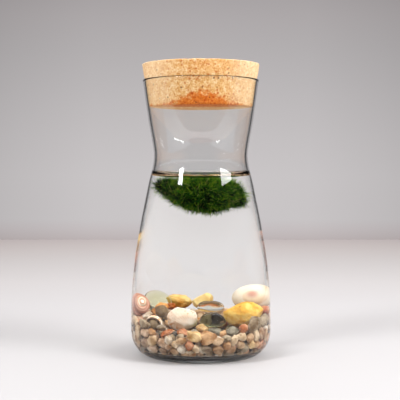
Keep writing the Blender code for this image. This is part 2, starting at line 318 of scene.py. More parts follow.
def glass_material(name, ior, colour=(0.985, 0.993, 0.99, 1.0), tint=(0.975, 0.98, 0.978, 1.0)):
    made, tree, shader = new_material(
        name, base_color=colour, roughness=0.0, ior=ior, transmission_weight=1.0
    )
    pass_light(tree, shader, tint)
    return made


def water_side_material():
    """Where the water meets the jar, the jar's wet wall bends the light, so this face is plainly clear."""
    made = bpy.data.materials.new("water_side")
    made.use_nodes = True
    tree = made.node_tree
    clear = add_node(tree, "ShaderNodeBsdfTransparent")
    tree.links.new(clear.outputs["BSDF"], tree.nodes["Material Output"].inputs["Surface"])
    return made


clear_glass = glass_material("clear_glass", GLASS_IOR)
wet_glass = glass_material("clear_glass_wet", WET_GLASS_IOR)
water_skin = glass_material("water_surface", WATER_IOR, colour=(1, 1, 1, 1), tint=(1, 1, 1, 1))
water_side = water_side_material()

# %% [markdown]
# The jar is one piece of blown glass: a wide belly, a narrow waist and a neck that flares to the rim.
# It could be a Screw of a drawn profile. Here the profile is a smooth curve through ten radii, because
# the inner wall and the water then follow the same function, a wall's thickness further in.

# %% The jar's profile
JAR_HEIGHT = 170.4 * MM
BELLY_RADIUS = 43.5 * MM
BELLY_HEIGHT = 16.0 * MM
FOOT_RADIUS = 31.5 * MM
RIM_RADIUS = 36.0 * MM
WALL = 1.7 * MM
FLOOR = 5.5 * MM
INNER_HEEL_RISE = 11.0 * MM
INNER_HEEL_RUN = 10.0 * MM
JAR_SIDE = (
    (BELLY_HEIGHT, BELLY_RADIUS),
    (30.0 * MM, 43.4 * MM),
    (52.0 * MM, 41.8 * MM),
    (80.0 * MM, 37.7 * MM),
    (104.0 * MM, 32.9 * MM),
    (123.5 * MM, 29.2 * MM),
    (133.0 * MM, 30.35 * MM),
    (138.0 * MM, 31.3 * MM),
    (156.0 * MM, 34.1 * MM),
    (JAR_HEIGHT, RIM_RADIUS),
)


def side_radius(height):
    """The outer radius above the heel: a smooth curve through JAR_SIDE that never overshoots."""
    heights = [point[0] for point in JAR_SIDE]
    radii = [point[1] for point in JAR_SIDE]
    steps = [b - a for a, b in zip(heights, heights[1:])]
    rises = [(b - a) / step for a, b, step in zip(radii, radii[1:], steps)]
    slopes = [0.0]
    for i in range(1, len(steps)):
        if rises[i - 1] * rises[i] <= 0.0:
            slopes.append(0.0)
            continue
        before = 2 * steps[i] + steps[i - 1]
        after = steps[i] + 2 * steps[i - 1]
        slopes.append((before + after) / (before / rises[i - 1] + after / rises[i]))
    slopes.append(rises[-1])
    i = max(k for k in range(len(steps)) if heights[k] <= height or k == 0)
    t = (height - heights[i]) / steps[i]
    return (
        (2 * t**3 - 3 * t**2 + 1) * radii[i]
        + (t**3 - 2 * t**2 + t) * steps[i] * slopes[i]
        + (3 * t**2 - 2 * t**3) * radii[i + 1]
        + (t**3 - t**2) * steps[i] * slopes[i + 1]
    )


def outer_radius(height):
    if height >= BELLY_HEIGHT:
        return side_radius(height)
    drop = (BELLY_HEIGHT - height) / BELLY_HEIGHT
    return FOOT_RADIUS + (BELLY_RADIUS - FOOT_RADIUS) * math.sqrt(max(0.0, 1.0 - drop * drop))


def inner_radius(height):
    corner = FLOOR + INNER_HEEL_RISE
    if height >= corner:
        return outer_radius(height) - WALL
    drop = (corner - height) / INNER_HEEL_RISE
    middle = outer_radius(corner) - WALL - INNER_HEEL_RUN
    return middle + INNER_HEEL_RUN * math.sqrt(max(0.0, 1.0 - drop * drop))


def spaced(low, high, count):
    return [low + (high - low) * i / (count - 1) for i in range(count)]


def heel_heights(low, high, count):
    """Heights that follow a rounded heel: close together where it is nearly flat."""
    return [high - (high - low) * math.cos(0.5 * math.pi * i / (count - 1)) for i in range(count)]


print("waist radius in mm:", round(outer_radius(123.5 * MM) / MM, 2))

# %% Turn the jar
SIDES = 192
PUNT_DEPTH = 0.9 * MM
WATER_CONTACT = 114.2 * MM


def jar_profile():
    """Radius, height and whether the wall there is wet: up the outside, over the lip, down the inside."""
    lip = 0.5 * WALL
    punt = [(FOOT_RADIUS * (0.15 + 0.7 * i / 8), PUNT_DEPTH * (1 - (i / 8) ** 2)) for i in range(9)]
    outside = punt + [(FOOT_RADIUS * 0.93, 0.0)]
    outside += [(outer_radius(z), z) for z in heel_heights(0.0, BELLY_HEIGHT, 22)]
    outside += [(outer_radius(z), z) for z in spaced(BELLY_HEIGHT, JAR_HEIGHT - lip, 110)[1:]]
    for step in range(1, 10):
        angle = math.pi * step / 10
        reach = RIM_RADIUS - lip + lip * math.cos(angle)
        outside.append((reach, JAR_HEIGHT - lip + lip * math.sin(angle)))
    corner = FLOOR + INNER_HEEL_RISE
    dry = [(inner_radius(z), z) for z in reversed(spaced(WATER_CONTACT, JAR_HEIGHT - lip, 50))]
    wet = [(inner_radius(z), z) for z in reversed(spaced(corner, WATER_CONTACT, 80)[:-1])]
    wet += [(inner_radius(z), z) for z in reversed(heel_heights(FLOOR, corner, 22)[1:-1])]
    middle = inner_radius(FLOOR)
    wet += [(middle * share, FLOOR) for share in (1.0, 0.75, 0.5, 0.25)]
    return outside + dry, wet


def make_jar():
    dry, wet = jar_profile()
    rings = [ring(r, z, SIDES) for r, z in dry + wet]
    shape = wrapped("glass_jar", Vector((0, 0, PUNT_DEPTH)), rings, Vector((0, 0, FLOOR)))
    jar = add_object("glass_jar", shape, clear_glass, wet_glass)
    first_wet = 1 + (len(dry) - 1) * SIDES
    for face in shape.polygons:
        face.material_index = int(min(face.vertices) >= first_wet)
    return jar


hand_over(make_jar(), "clear_glass", "jar")

# %% [markdown]
# The water stands a little higher at the glass than in the middle: it climbs the wall in a curve, the
# meniscus, which shows as a bright smile across the jar. A flat disc would miss it, so the surface is
# turned from the curve that water takes at a wall. Its slope gives both its height and its distance
# from the wall. Its size is the capillary length, 2.7 mm for clean water and here 3.3 mm, because the
# band in the photograph is that much taller. The wall leans in over the water there, so the water
# follows it past the upright.

# %% Fill the jar with water
CAPILLARY = 3.3 * MM
STEEPEST = math.radians(98)
WATER_LEVEL = WATER_CONTACT - 2 * CAPILLARY * math.sin(STEEPEST / 2)
WATER_GAP = 0.02 * MM


def meniscus(slope):
    """Distance and height of the water's curve where it has this slope."""
    away = CAPILLARY * (math.log(1 / math.tan(slope / 4)) - 2 * math.cos(slope / 2))
    return away, 2 * CAPILLARY * math.sin(slope / 2)


def make_water():
    edge = inner_radius(WATER_CONTACT) - WATER_GAP
    start = meniscus(STEEPEST)[0]
    surface = []
    for i in range(60):
        away, rise = meniscus(STEEPEST * (1 - i / 60) ** 1.6)
        if edge - (away - start) > 1 * MM:
            surface.insert(0, ring(edge - (away - start), WATER_LEVEL + rise, SIDES))
    corner = FLOOR + INNER_HEEL_RISE
    heights = list(reversed(spaced(corner, WATER_CONTACT, 60)))[1:]
    heights += list(reversed(heel_heights(FLOOR + WATER_GAP, corner, 16)[:-1]))
    side = [ring(inner_radius(z) - WATER_GAP, z, SIDES) for z in heights]
    top = Vector((0, 0, WATER_LEVEL))
    shape = wrapped("jar_water", top, surface + side, Vector((0, 0, FLOOR + WATER_GAP)))
    water = add_object("jar_water", shape, water_skin, water_side)
    last_surface = 1 + len(surface) * SIDES
    for face in shape.polygons:
        face.material_index = int(max(face.vertices) >= last_surface)
    return water


hand_over(make_water(), "water", "water")

# %% [markdown]
# The stopper is agglomerated cork: granules of bark a millimetre or two across, pressed together, with
# dark flecks of outer bark and small pits. It is turned like the jar and then roughened by noise along
# its normals, so that its edge crumbles a little. Where splashes wet it low in front it is stained
# orange.

# %% Shape the cork
CORK_BOTTOM = 153.6 * MM
CORK_TOP = 180.0 * MM
CORK_TOP_RADIUS = 36.2 * MM
CORK_EDGE = 0.7 * MM
CORK_GAP = 0.12 * MM
CORK_PITS = 0.09 * MM


def cork_radius(height):
    """In the neck the cork fills the glass; above the lip it springs out to its full width."""
    lip_bottom = JAR_HEIGHT - 0.5 * WALL
    squeezed = inner_radius(min(height, lip_bottom)) - CORK_GAP
    if height <= lip_bottom:
        return squeezed
    above = (height - lip_bottom) / (CORK_TOP - lip_bottom)
    return squeezed + (CORK_TOP_RADIUS - squeezed) * above**0.62


def make_cork():
    sides = 240
    low, high = cork_radius(CORK_BOTTOM), CORK_TOP_RADIUS
    profile = [(low * share, CORK_BOTTOM) for share in spaced(0.06, 0.94, 20)]
    for step in range(6):
        a = 0.5 * math.pi * step / 5
        profile.append((low - CORK_EDGE * (1 - math.sin(a)), CORK_BOTTOM + CORK_EDGE * (1 - math.cos(a))))
    profile += [(cork_radius(z), z) for z in spaced(CORK_BOTTOM + CORK_EDGE, CORK_TOP - CORK_EDGE, 48)[1:]]
    for step in range(1, 6):
        a = 0.5 * math.pi * step / 5
        profile.append((high - CORK_EDGE * (1 - math.cos(a)), CORK_TOP - CORK_EDGE * (1 - math.sin(a))))
    profile += [(high * share, CORK_TOP) for share in reversed(spaced(0.04, 0.96, 30))]
    rings = [ring(r, z, sides) for r, z in profile]
    shape = wrapped("cork", Vector((0, 0, CORK_BOTTOM)), rings, Vector((0, 0, CORK_TOP)))
    normals = [vert.normal.copy() for vert in shape.vertices]
    for vert, normal in zip(shape.vertices, normals):
        pit = max(0.0, noise.noise(vert.co * 900) + 0.15) + 0.5 * max(0.0, noise.noise(vert.co * 2300))
        vert.co -= normal * CORK_PITS * pit
    return shape


# %% Cork material
def cork_granules(tree, point):
    """Granules of two sizes, each with its own shade, their borders bent by noise."""
    warp = add_node(tree, "ShaderNodeTexNoise", {"Vector": point, "Scale": 620.0, "Detail": 2.0})
    bent = add_node(
        tree, "ShaderNodeMix", {0: 0.0011, 4: point, 5: warp.outputs["Color"]}, data_type="VECTOR"
    ).outputs[1]
    coarse = add_node(tree, "ShaderNodeTexVoronoi", {"Vector": bent, "Scale": 520.0})
    fine = add_node(tree, "ShaderNodeTexVoronoi", {"Vector": bent, "Scale": 1250.0})
    tone = add_node(tree, "ShaderNodeSeparateColor", {"Color": coarse.outputs["Color"]}).outputs["Red"]
    fine_tone = add_node(tree, "ShaderNodeSeparateColor", {"Color": fine.outputs["Color"]}).outputs["Green"]
    return maths(tree, "ADD", maths(tree, "MULTIPLY", tone, 0.45), maths(tree, "MULTIPLY", fine_tone, 0.55))


def cork_spots(tree, point, scale, size, share):
    """Round spots in some of the cells of a pattern."""
    cells = add_node(tree, "ShaderNodeTexVoronoi", {"Vector": point, "Scale": scale})
    chosen = add_node(tree, "ShaderNodeSeparateColor", {"Color": cells.outputs["Color"]}).outputs["Blue"]
    near = remap(tree, cells.outputs["Distance"], size, size * 0.5)
    return maths(tree, "MULTIPLY", near, maths(tree, "GREATER_THAN", chosen, 1.0 - share))


def cork_material():
    made, tree, shader = new_material("cork", roughness=0.8, specular_ior_level=0.25)
    point = object_point(tree)
    base = ramp(
        tree,
        cork_granules(tree, point),
        [
            (0.05, srgb(206, 138, 74)),
            (0.3, srgb(226, 170, 102)),
            (0.55, srgb(236, 190, 128)),
            (0.85, srgb(246, 216, 168)),
        ],
    )
    chips = add_node(tree, "ShaderNodeTexNoise", {"Vector": point, "Scale": 1300.0, "Detail": 3.0})
    rusty = maths(tree, "MULTIPLY", remap(tree, chips.outputs["Fac"], 0.56, 0.66), 0.75)
    flecked = mix(tree, rusty, base, srgb(206, 118, 44))
    orange_spots = maths(tree, "MULTIPLY", cork_spots(tree, point, 480.0, 0.42, 0.4), 0.75)
    spotted = mix(tree, orange_spots, flecked, srgb(200, 104, 34))
    bark = maths(tree, "MULTIPLY", cork_spots(tree, point, 360.0, 0.27, 0.3), 0.9)
    spotted = mix(tree, bark, spotted, srgb(122, 56, 18))

    place = add_node(tree, "ShaderNodeSeparateXYZ", {"Vector": point})
    # Painted sheen: the cork is made paler towards its left and right sides, for the side soft boxes' light glancing
    # off it.
    sides = remap(tree, maths(tree, "ABSOLUTE", place.outputs["X"]), 12 * MM, 28 * MM, 0.0, 0.4)
    spotted = mix(tree, sides, spotted, srgb(250, 230, 194))
    ragged = add_node(tree, "ShaderNodeTexNoise", {"Vector": point, "Scale": 300.0, "Detail": 5.0, "Roughness": 0.7})
    spread = maths(tree, "MULTIPLY", maths(tree, "SUBTRACT", ragged.outputs["Fac"], 0.5), 17 * MM)
    off = maths(tree, "ABSOLUTE", maths(tree, "SUBTRACT", place.outputs["X"], 1.5 * MM))
    peak = remap(tree, off, 0.0, 24 * MM, 9.5 * MM, 2.0 * MM)
    top = maths(tree, "ADD", maths(tree, "ADD", peak, CORK_BOTTOM - 1.0 * MM), spread)
    low = maths(tree, "SUBTRACT", top, place.outputs["Z"])
    damp = remap(tree, low, -1.0 * MM, 3.0 * MM)
    front = remap(tree, place.outputs["Y"], 4 * MM, -12 * MM)
    stain = maths(tree, "MULTIPLY", maths(tree, "MULTIPLY", damp, front), 0.9)
    wet = mix(tree, 1.0, spotted, srgb(240, 158, 34), "MULTIPLY")
    dye = mix(tree, remap(tree, ragged.outputs["Fac"], 0.55, 0.7), wet, srgb(178, 70, 4))
    stained = mix(tree, stain, spotted, dye)
    tree.links.new(stained, shader.inputs["Base Color"])

    height = maths(tree, "SUBTRACT", 1.0, maths(tree, "MAXIMUM", rusty, bark))
    bump = add_node(tree, "ShaderNodeBump", {"Height": height, "Distance": 0.05 * MM, "Strength": 0.6})
    tree.links.new(bump.outputs["Normal"], shader.inputs["Normal"])
    return made


hand_over(add_object("cork", make_cork(), cork_material()), "cork", "cork_stopper")

# %% [markdown]
# The moss ball is a felt of fine green threads. Hair would be the quick way; instead it is built as a dark core,
# its darkness partly painted shade for the depth of the felt, whose surface Geometry Nodes cover with small
# curved threads: scattered with a fixed seed, turned outward, tilted and scaled at random, then realized.

# %% The ball's uneven form
MOSS_CENTRE = Vector((0.5, 0.0, 97.6)) * MM
MOSS_SIZE = Vector((20.5, 19.5, 11.8)) * MM
MOSS_TOP = WATER_LEVEL - 1.0 * MM
MOSS_LOBES = (
    (Vector((-0.89, -0.05, 0.45)), 8.4 * MM, 0.22),
    (Vector((-0.97, -0.1, -0.22)), -7.4 * MM, 0.34),
    (Vector((-0.6, -0.1, -0.8)), -3.4 * MM, 0.32),
    (Vector((0.91, -0.05, -0.42)), 4.6 * MM, 0.18),
    (Vector((0.65, -0.1, -0.76)), -1.6 * MM, 0.22),
    (Vector((0.6, 0.75, 0.1)), 1.6 * MM, 0.30),
)


def moss_point(angle, latitude, grow):
    """A point of the ball's outside, grown outward by a margin and flattened just under the water."""
    flat = math.cos(latitude)
    way = Vector((flat * math.cos(angle), flat * math.sin(angle), math.sin(latitude)))
    reach = 1.1 * MM * noise.noise(way * 2.6 + Vector((3.1, 0.4, 7.7)))
    reach += 0.9 * MM * noise.noise(way * 7.5) + 0.45 * MM * noise.noise(way * 17.0)
    for toward, gain, spread in MOSS_LOBES:
        off = (way - toward.normalized()).length
        reach += gain * math.exp(-((off / spread) ** 2) / 2)
    point = Vector((way.x * MOSS_SIZE.x, way.y * MOSS_SIZE.y, way.z * MOSS_SIZE.z))
    point = MOSS_CENTRE + point + way * (reach + grow)
    over = point.z - MOSS_TOP - grow
    if over > 0.0:
        point.z -= 0.86 * over
    return point


def moss_core(sink):
    sides, bands = 150, 74
    latitudes = [math.pi * (i / bands - 0.5) for i in range(1, bands)]
    angles = [2 * math.pi * i / sides for i in range(sides)]
    rings = [[moss_point(angle, latitude, -sink) for angle in angles] for latitude in latitudes]
    poles = [moss_point(0.0, latitude, -sink) for latitude in (-math.pi / 2, math.pi / 2)]
    return wrapped("moss_core", poles[0], rings, poles[1])


# %% Moss materials
def clumps(tree, size):
    """Clumps of moss painted lit or in shade: a soft noise of one clump size, 0 to 1."""
    noise_node = add_node(
        tree, "ShaderNodeTexNoise", {"Vector": object_point(tree), "Scale": 1 / size, "Detail": 3.0, "Distortion": 0.6}
    )
    return remap(tree, noise_node.outputs["Fac"], 0.38, 0.62)


def moss_core_material():
    made, tree, shader = new_material("moss_core", roughness=0.9, specular_ior_level=0.1)
    # The core's near-black green is partly the moss's own colour and partly painted shade for the depth of the felt;
    # its clumps are painted lit and shaded patches.
    base = mix(tree, clumps(tree, 4.5 * MM), srgb(1, 9, 2), srgb(6, 44, 5))
    fleck = speckle(tree, 1300.0, 0.2)[0]
    tree.links.new(mix(tree, maths(tree, "MULTIPLY", fleck, 0.8), base, srgb(70, 112, 28)), shader.inputs["Base Color"])
    tree.links.new(relief(tree, 1800.0, 0.4 * MM), shader.inputs["Normal"])
    return made


def moss_thread_material(name, dark, bright, glow):
    """Each thread is painted dark at its root, as shade deep in the felt, and pale yellow-green at its tip, as painted
    glow of the backlit fringe; light also shines through it.
    """
    made, tree, shader = new_material(name, roughness=0.55, specular_ior_level=0.15)
    along = add_node(tree, "ShaderNodeAttribute", attribute_name="along").outputs["Fac"]
    tone = add_node(tree, "ShaderNodeAttribute", attribute_name="tone").outputs["Fac"]
    # Shaded and lit copies of the thread colours, mixed in clumps: painted shade and light on the ball.
    stops = zip((0.0, 0.35, 0.6, 0.85), dark), zip((0.0, 0.35, 0.6, 0.85), bright)
    shaded, lit = [ramp(tree, along, list(each)) for each in stops]
    light = maths(tree, "MULTIPLY", clumps(tree, 4.5 * MM), remap(tree, tone, 0.0, 1.0, 0.35, 1.0))
    colour = mix(tree, light, shaded, lit)
    pale = maths(tree, "GREATER_THAN", tone, 0.975)
    colour = mix(tree, maths(tree, "MULTIPLY", pale, 0.8), colour, srgb(206, 208, 128))
    tree.links.new(colour, shader.inputs["Base Color"])
    through = add_node(tree, "ShaderNodeBsdfTranslucent", {"Color": colour})
    both = add_node(tree, "ShaderNodeMixShader", {0: glow, 1: shader.outputs["BSDF"], 2: through.outputs["BSDF"]})
    tree.links.new(both.outputs["Shader"], tree.nodes["Material Output"].inputs["Surface"])
    return made


# %% One thread, and a tree that scatters it
def thread_mesh(half, bend):
    """A tapering three-sided thread along +Z, one long, that bends towards +X."""
    stations = ((0.0, 1.0), (0.4, 0.95), (0.75, 0.8))
    points, along = [], []
    for rise, share in stations:
        for side in range(3):
            a = 2 * math.pi * side / 3
            points.append((bend * rise**2 + half * share * math.cos(a), half * share * math.sin(a), rise))
            along.append(rise)
    points.append((bend, 0.0, 1.0))
    along.append(1.0)
    faces = [(2, 1, 0)]
    for level in (0, 3):
        for side in range(3):
            after = (side + 1) % 3
            faces.append((level + side, level + after, level + 3 + after, level + 3 + side))
    faces += [(6 + side, 6 + (side + 1) % 3, 9) for side in range(3)]
    made = bpy.data.meshes.new("thread")
    made.from_pydata(points, [], faces)
    made.attributes.new("along", "FLOAT", "POINT").data.foreach_set("value", along)
    return made


def scatter_tree(name, extra_inputs):
    """An empty Geometry Nodes tree with its geometry sockets and named inputs."""
    tree = bpy.data.node_groups.new(name, "GeometryNodeTree")
    tree.interface.new_socket(name="Geometry", in_out="INPUT", socket_type="NodeSocketGeometry")
    for label, kind in extra_inputs:
        tree.interface.new_socket(name=label, in_out="INPUT", socket_type=kind)
    tree.interface.new_socket(name="Geometry", in_out="OUTPUT", socket_type="NodeSocketGeometry")
    return tree, tree.nodes.new("NodeGroupInput"), tree.nodes.new("NodeGroupOutput")


def thread_tree():
    tree, start, end = scatter_tree(
        "moss threads",
        [
            ("Thread", "NodeSocketObject"),
            ("Density", "NodeSocketFloat"),
            ("Length", "NodeSocketFloat"),
            ("Lean", "NodeSocketFloat"),
            ("Flow", "NodeSocketFloat"),
            ("Seed", "NodeSocketInt"),
            ("Material", "NodeSocketMaterial"),
        ],
    )
    scattered = add_node(
        tree,
        "GeometryNodeDistributePointsOnFaces",
        {
            "Mesh": start.outputs["Geometry"],
            "Density": start.outputs["Density"],
            "Seed": start.outputs["Seed"],
        },
        use_legacy_normal=False,
    )

    def vector_maths(operation, values):
        return add_node(tree, "ShaderNodeVectorMath", values, operation=operation).outputs[0]

    # neighbours lean alike, because the flow is a slow noise of where they stand
    field = add_node(tree, "ShaderNodeTexNoise", {"Scale": 110.0, "Detail": 2.0}).outputs["Color"]
    flow = vector_maths("SCALE", {0: vector_maths("SUBTRACT", {0: field, 1: (0.5,) * 3}), 3: start.outputs["Flow"]})
    ends = {0: (-1.0,) * 3, 1: (1.0,) * 3, "Seed": start.outputs["Seed"]}
    spread = add_node(tree, "FunctionNodeRandomValue", ends, data_type="FLOAT_VECTOR")
    leaning = vector_maths("SCALE", {0: spread.outputs[0], 3: start.outputs["Lean"]})
    toward = vector_maths("ADD", {0: scattered.outputs["Normal"], 1: vector_maths("ADD", {0: leaning, 1: flow})})
    turned = add_node(tree, "FunctionNodeAlignRotationToVector", {"Vector": toward}, axis="Z")
    spin = add_node(tree, "FunctionNodeRandomValue", {2: 0.0, 3: 2 * math.pi, "Seed": 11}, data_type="FLOAT")
    twist = add_node(tree, "ShaderNodeCombineXYZ", {"Z": spin.outputs[1]})
    spun = add_node(
        tree,
        "FunctionNodeRotateRotation",
        {"Rotation": turned.outputs["Rotation"], "Rotate By": twist.outputs[0]},
        rotation_space="LOCAL",
    )
    size = add_node(tree, "FunctionNodeRandomValue", {2: 0.4, 3: 1.0, "Seed": 5}, data_type="FLOAT")
    long = add_node(tree, "ShaderNodeMath", {0: size.outputs[1], 1: start.outputs["Length"]}, operation="MULTIPLY")
    thread = add_node(tree, "GeometryNodeObjectInfo", {"Object": start.outputs["Thread"], "As Instance": True})
    placed = add_node(
        tree,
        "GeometryNodeInstanceOnPoints",
        {
            "Points": scattered.outputs["Points"],
            "Instance": thread.outputs["Geometry"],
            "Rotation": spun.outputs["Rotation"],
            "Scale": long.outputs[0],
        },
    )
    tone = add_node(tree, "FunctionNodeRandomValue", {2: 0.0, 3: 1.0, "Seed": 19}, data_type="FLOAT")
    toned = add_node(
        tree,
        "GeometryNodeStoreNamedAttribute",
        {"Geometry": placed.outputs[0], "Name": "tone", "Value": tone.outputs[1]},
        data_type="FLOAT",
        domain="INSTANCE",
    )
    real = add_node(tree, "GeometryNodeRealizeInstances", {"Geometry": toned.outputs[0]})
    coloured = add_node(
        tree, "GeometryNodeSetMaterial", {"Geometry": real.outputs[0], "Material": start.outputs["Material"]}
    )
    tree.links.new(coloured.outputs[0], end.inputs["Geometry"])
    return tree


def run_tree(name, surface, tree, values):
    """Puts the tree on a surface, sets its named inputs and returns the plain mesh that it makes."""
    carrier = bpy.data.objects.new(name, surface)
    bpy.context.scene.collection.objects.link(carrier)
    modifier = carrier.modifiers.new(name, "NODES")
    modifier.node_group = tree
    for item in tree.interface.items_tree:
        if item.in_out == "INPUT" and item.name in values:
            modifier[item.identifier] = values[item.name]
    bpy.context.view_layer.update()
    graph = bpy.context.evaluated_depsgraph_get()
    made = bpy.data.meshes.new_from_object(carrier.evaluated_get(graph))
    bpy.data.objects.remove(carrier)
    return made


# %% Grow the moss ball
MOSS_SINK = 2.6 * MM
# Name, half width and bend of a thread one long, density, length, lean, flow, seed
MOSS_LAYERS = (
    ("moss_fuzz", 0.034, 0.35, 2.4e6, 2.9 * MM, 0.7, 1.2, 7),
    ("moss_strands", 0.026, 0.6, 1.6e6, 5.2 * MM, 0.8, 4.0, 12),
)
# Shaded and lit copies of each layer's thread colours, root to tip: painted shade at the roots and painted glow at the
# tips.
FUZZ_SHADED_AND_LIT = (
    (srgb(0, 5, 0), srgb(1, 18, 1), srgb(2, 36, 1), srgb(16, 76, 3)),
    (srgb(2, 34, 1), srgb(9, 80, 2), srgb(34, 128, 4), srgb(150, 190, 34)),
)
STRAND_SHADED_AND_LIT = (
    (srgb(0, 11, 0), srgb(2, 38, 1), srgb(16, 84, 3), srgb(104, 162, 20)),
    (srgb(3, 50, 1), srgb(26, 118, 4), srgb(100, 176, 14), srgb(214, 226, 70)),
)


def make_moss():
    core = moss_core(MOSS_SINK)
    tree = thread_tree()
    hand_over(add_object("moss_core", core, moss_core_material()), "moss", "marimo_ball")
    for row, (dark, bright) in zip(MOSS_LAYERS, (FUZZ_SHADED_AND_LIT, STRAND_SHADED_AND_LIT)):
        name, half, bend, density, length, lean, flow, seed = row
        thread = bpy.data.objects.new("thread", thread_mesh(half, bend))
        values = {"Thread": thread, "Density": density, "Length": length, "Lean": lean, "Flow": flow, "Seed": seed}
        values["Material"] = moss_thread_material(name, dark, bright, 0.6)
        threads = run_tree(name, core.copy(), tree, values)
        for vert in threads.vertices:
            vert.co.z = min(vert.co.z, WATER_LEVEL - 0.3 * MM)
        hand_over(add_object(name, threads), "moss")
        bpy.data.objects.remove(thread)


make_moss()

# %% [markdown]
# Stones. Each is a ball worn flat in places, with noise for its unevenness: the same formula as its
# solid, on a finer mesh and with small chips added. Its box is then fitted to the box of the solid
# that it stands for, so that it lies exactly where the solid lies.

# %% Stone shapes
def worn_ball(subdivisions, size, flats=(), rough=0.06, seed=1, chips=0.0):
    """A stone's mesh in a bmesh. Chips is the depth of the fine facets, as a share of its size."""
    draw = random.Random(seed)
    worn = [(Vector(way).normalized(), depth) for way, depth in flats]
    for _ in range(5):
        way = Vector((draw.gauss(0, 1), draw.gauss(0, 1), draw.gauss(0, 1))).normalized()
        worn.append((way, draw.uniform(0.8, 0.95)))
    shape = bmesh.new()
    bmesh.ops.create_icosphere(shape, subdivisions=subdivisions, radius=1.0)
    offset = Vector((seed * 3.7, seed * 1.3, 0.0))
    for vert in shape.verts:
        vert.co *= 1.0 + rough * noise.noise(vert.co * 1.8 + offset)
        for way, depth in worn:
            over = vert.co.dot(way) - depth
            if over > 0.0:
                vert.co -= way * over * 0.9
        if chips:
            small = noise.noise(vert.co * 5.0 + offset) + 0.5 * noise.noise(vert.co * 12.0 + offset)
            small += 0.8 * noise.voronoi(vert.co * 3.2 + offset)[0][0] - 0.4
            vert.co *= 1.0 + chips * small
        vert.co = Vector([c * s * MM for c, s in zip(vert.co, size)])
    return shape


def turned(shape, turn):
    """Turns a bmesh by degrees about X, Y and Z."""
    bmesh.ops.transform(shape, verts=shape.verts, matrix=Euler([math.radians(a) for a in turn]).to_matrix().to_4x4())
    return shape


def mesh_of(name, shape):
    made = bpy.data.meshes.new(name)
    shape.to_mesh(made)
    shape.free()
    return made


def fit_to(mesh, node):
    """Moves and scales a mesh so that its box is the box of a solid."""
    low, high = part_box(node)
    points = [vert.co for vert in mesh.vertices]
    first = Vector([min(p[i] for p in points) for i in range(3)])
    last = Vector([max(p[i] for p in points) for i in range(3)])
    for vert in mesh.vertices:
        vert.co = Vector(
            [low[i] + (vert.co[i] - first[i]) * (high[i] - low[i]) / (last[i] - first[i]) for i in range(3)]
        )
    return mesh


# %% Stone materials
SUBMERGED = {"specular_ior_level": 0.35, "ior": 1.25}


def stone_material(name, colours, grain, flecks, fleck_colour, depth=0.12, roughness=0.45):
    """Mottled stone: a cloud between two or three colours, flecks of another, and fine relief."""
    made, tree, shader = new_material(name, roughness=roughness, **SUBMERGED)
    fleck, cloud = speckle(tree, grain, flecks)
    fine = add_node(
        tree, "ShaderNodeTexNoise", {"Vector": object_point(tree), "Scale": grain * 0.5, "Detail": 6.0, "Roughness": 0.7}
    )
    both = maths(tree, "ADD", maths(tree, "MULTIPLY", cloud, 0.5), maths(tree, "MULTIPLY", fine.outputs["Fac"], 0.5))
    stops = [(0.15 + 0.7 * i / (len(colours) - 1), colour) for i, colour in enumerate(colours)]
    base = ramp(tree, both, stops)
    tree.links.new(mix(tree, fleck, base, fleck_colour), shader.inputs["Base Color"])
    tree.links.new(relief(tree, grain * 1.2, depth * MM), shader.inputs["Normal"])
    return made


def make_stone(node, material, detail=5, turn=(0, 0, 0), **look):
    shape = turned(worn_ball(detail, **look), turn)
    mesh = fit_to(mesh_of(node, shape), node)
    hand_over(add_object(node + "_worn", mesh, material), *STONE_SLOTS[node])


STONE_SLOTS = {
    "yellow_stone": ("yellow_stone", "yellow_stone"),
    "amber_stone": ("amber_stone", "amber_stone"),
    "pale_stone": ("pale_stone", "pale_stone"),
    "brown_pebble": ("brown_stone", "brown_pebble"),
    "cup_pebble": ("brown_stone", "cup_pebble"),
    "rust_pebble": ("rust_stone", "rust_pebble"),
}

yellow_rock = stone_material(
    "yellow_stone",
    [srgb(206, 132, 34), srgb(234, 176, 66), srgb(243, 198, 96), srgb(247, 214, 130)],
    900.0,
    0.16,
    srgb(206, 128, 34),
    0.25,
)
amber_rock = stone_material(
    "amber_stone",
    [srgb(150, 76, 22), srgb(206, 146, 66), srgb(238, 206, 130), srgb(248, 230, 180)],
    420.0,
    0.2,
    srgb(150, 70, 20),
    0.2,
)
pale_rock = stone_material(
    "pale_stone",
    [srgb(222, 178, 104), srgb(242, 214, 148), srgb(250, 234, 190)],
    380.0,
    0.12,
    srgb(214, 150, 70),
)
brown_rock = stone_material(
    "brown_stone",
    [srgb(84, 66, 46), srgb(120, 98, 70), srgb(146, 126, 98)],
    520.0,
    0.2,
    srgb(84, 60, 34),
)
rust_rock = stone_material(
    "rust_stone",
    [srgb(120, 44, 16), srgb(176, 88, 40), srgb(206, 148, 96)],
    420.0,
    0.2,
    srgb(90, 40, 20),
)

# %% Lay the larger stones
make_stone(
    "yellow_stone",
    yellow_rock,
    size=(11.4, 7.0, 7.9),
    flats=(((-0.6, -0.1, 0.9), 0.74), ((0.75, -0.2, 0.75), 0.80), ((-0.8, -0.8, -0.2), 0.80)),
    rough=0.12,
    seed=11,
    chips=0.035,
)
make_stone("amber_stone", amber_rock, turn=(0, 6, 0), size=(7.4, 4.8, 5.2), rough=0.16, seed=21, chips=0.07)
make_stone(
    "pale_stone",
    pale_rock,
    turn=(0, 24, 0),
    size=(4.8, 3.4, 5.0),
    flats=(((-0.9, 0, 0.5), 0.55), ((0.8, 0, -0.6), 0.6), ((0.9, -0.3, 0.4), 0.7), ((-0.2, -1, 0.3), 0.6)),
    seed=27,
    chips=0.04,
)
make_stone("brown_pebble", brown_rock, size=(3.5, 3.3, 3.7), seed=5, chips=0.008)
make_stone("cup_pebble", brown_rock, size=(4.4, 3.4, 4.0), rough=0.05, seed=4, chips=0.008)
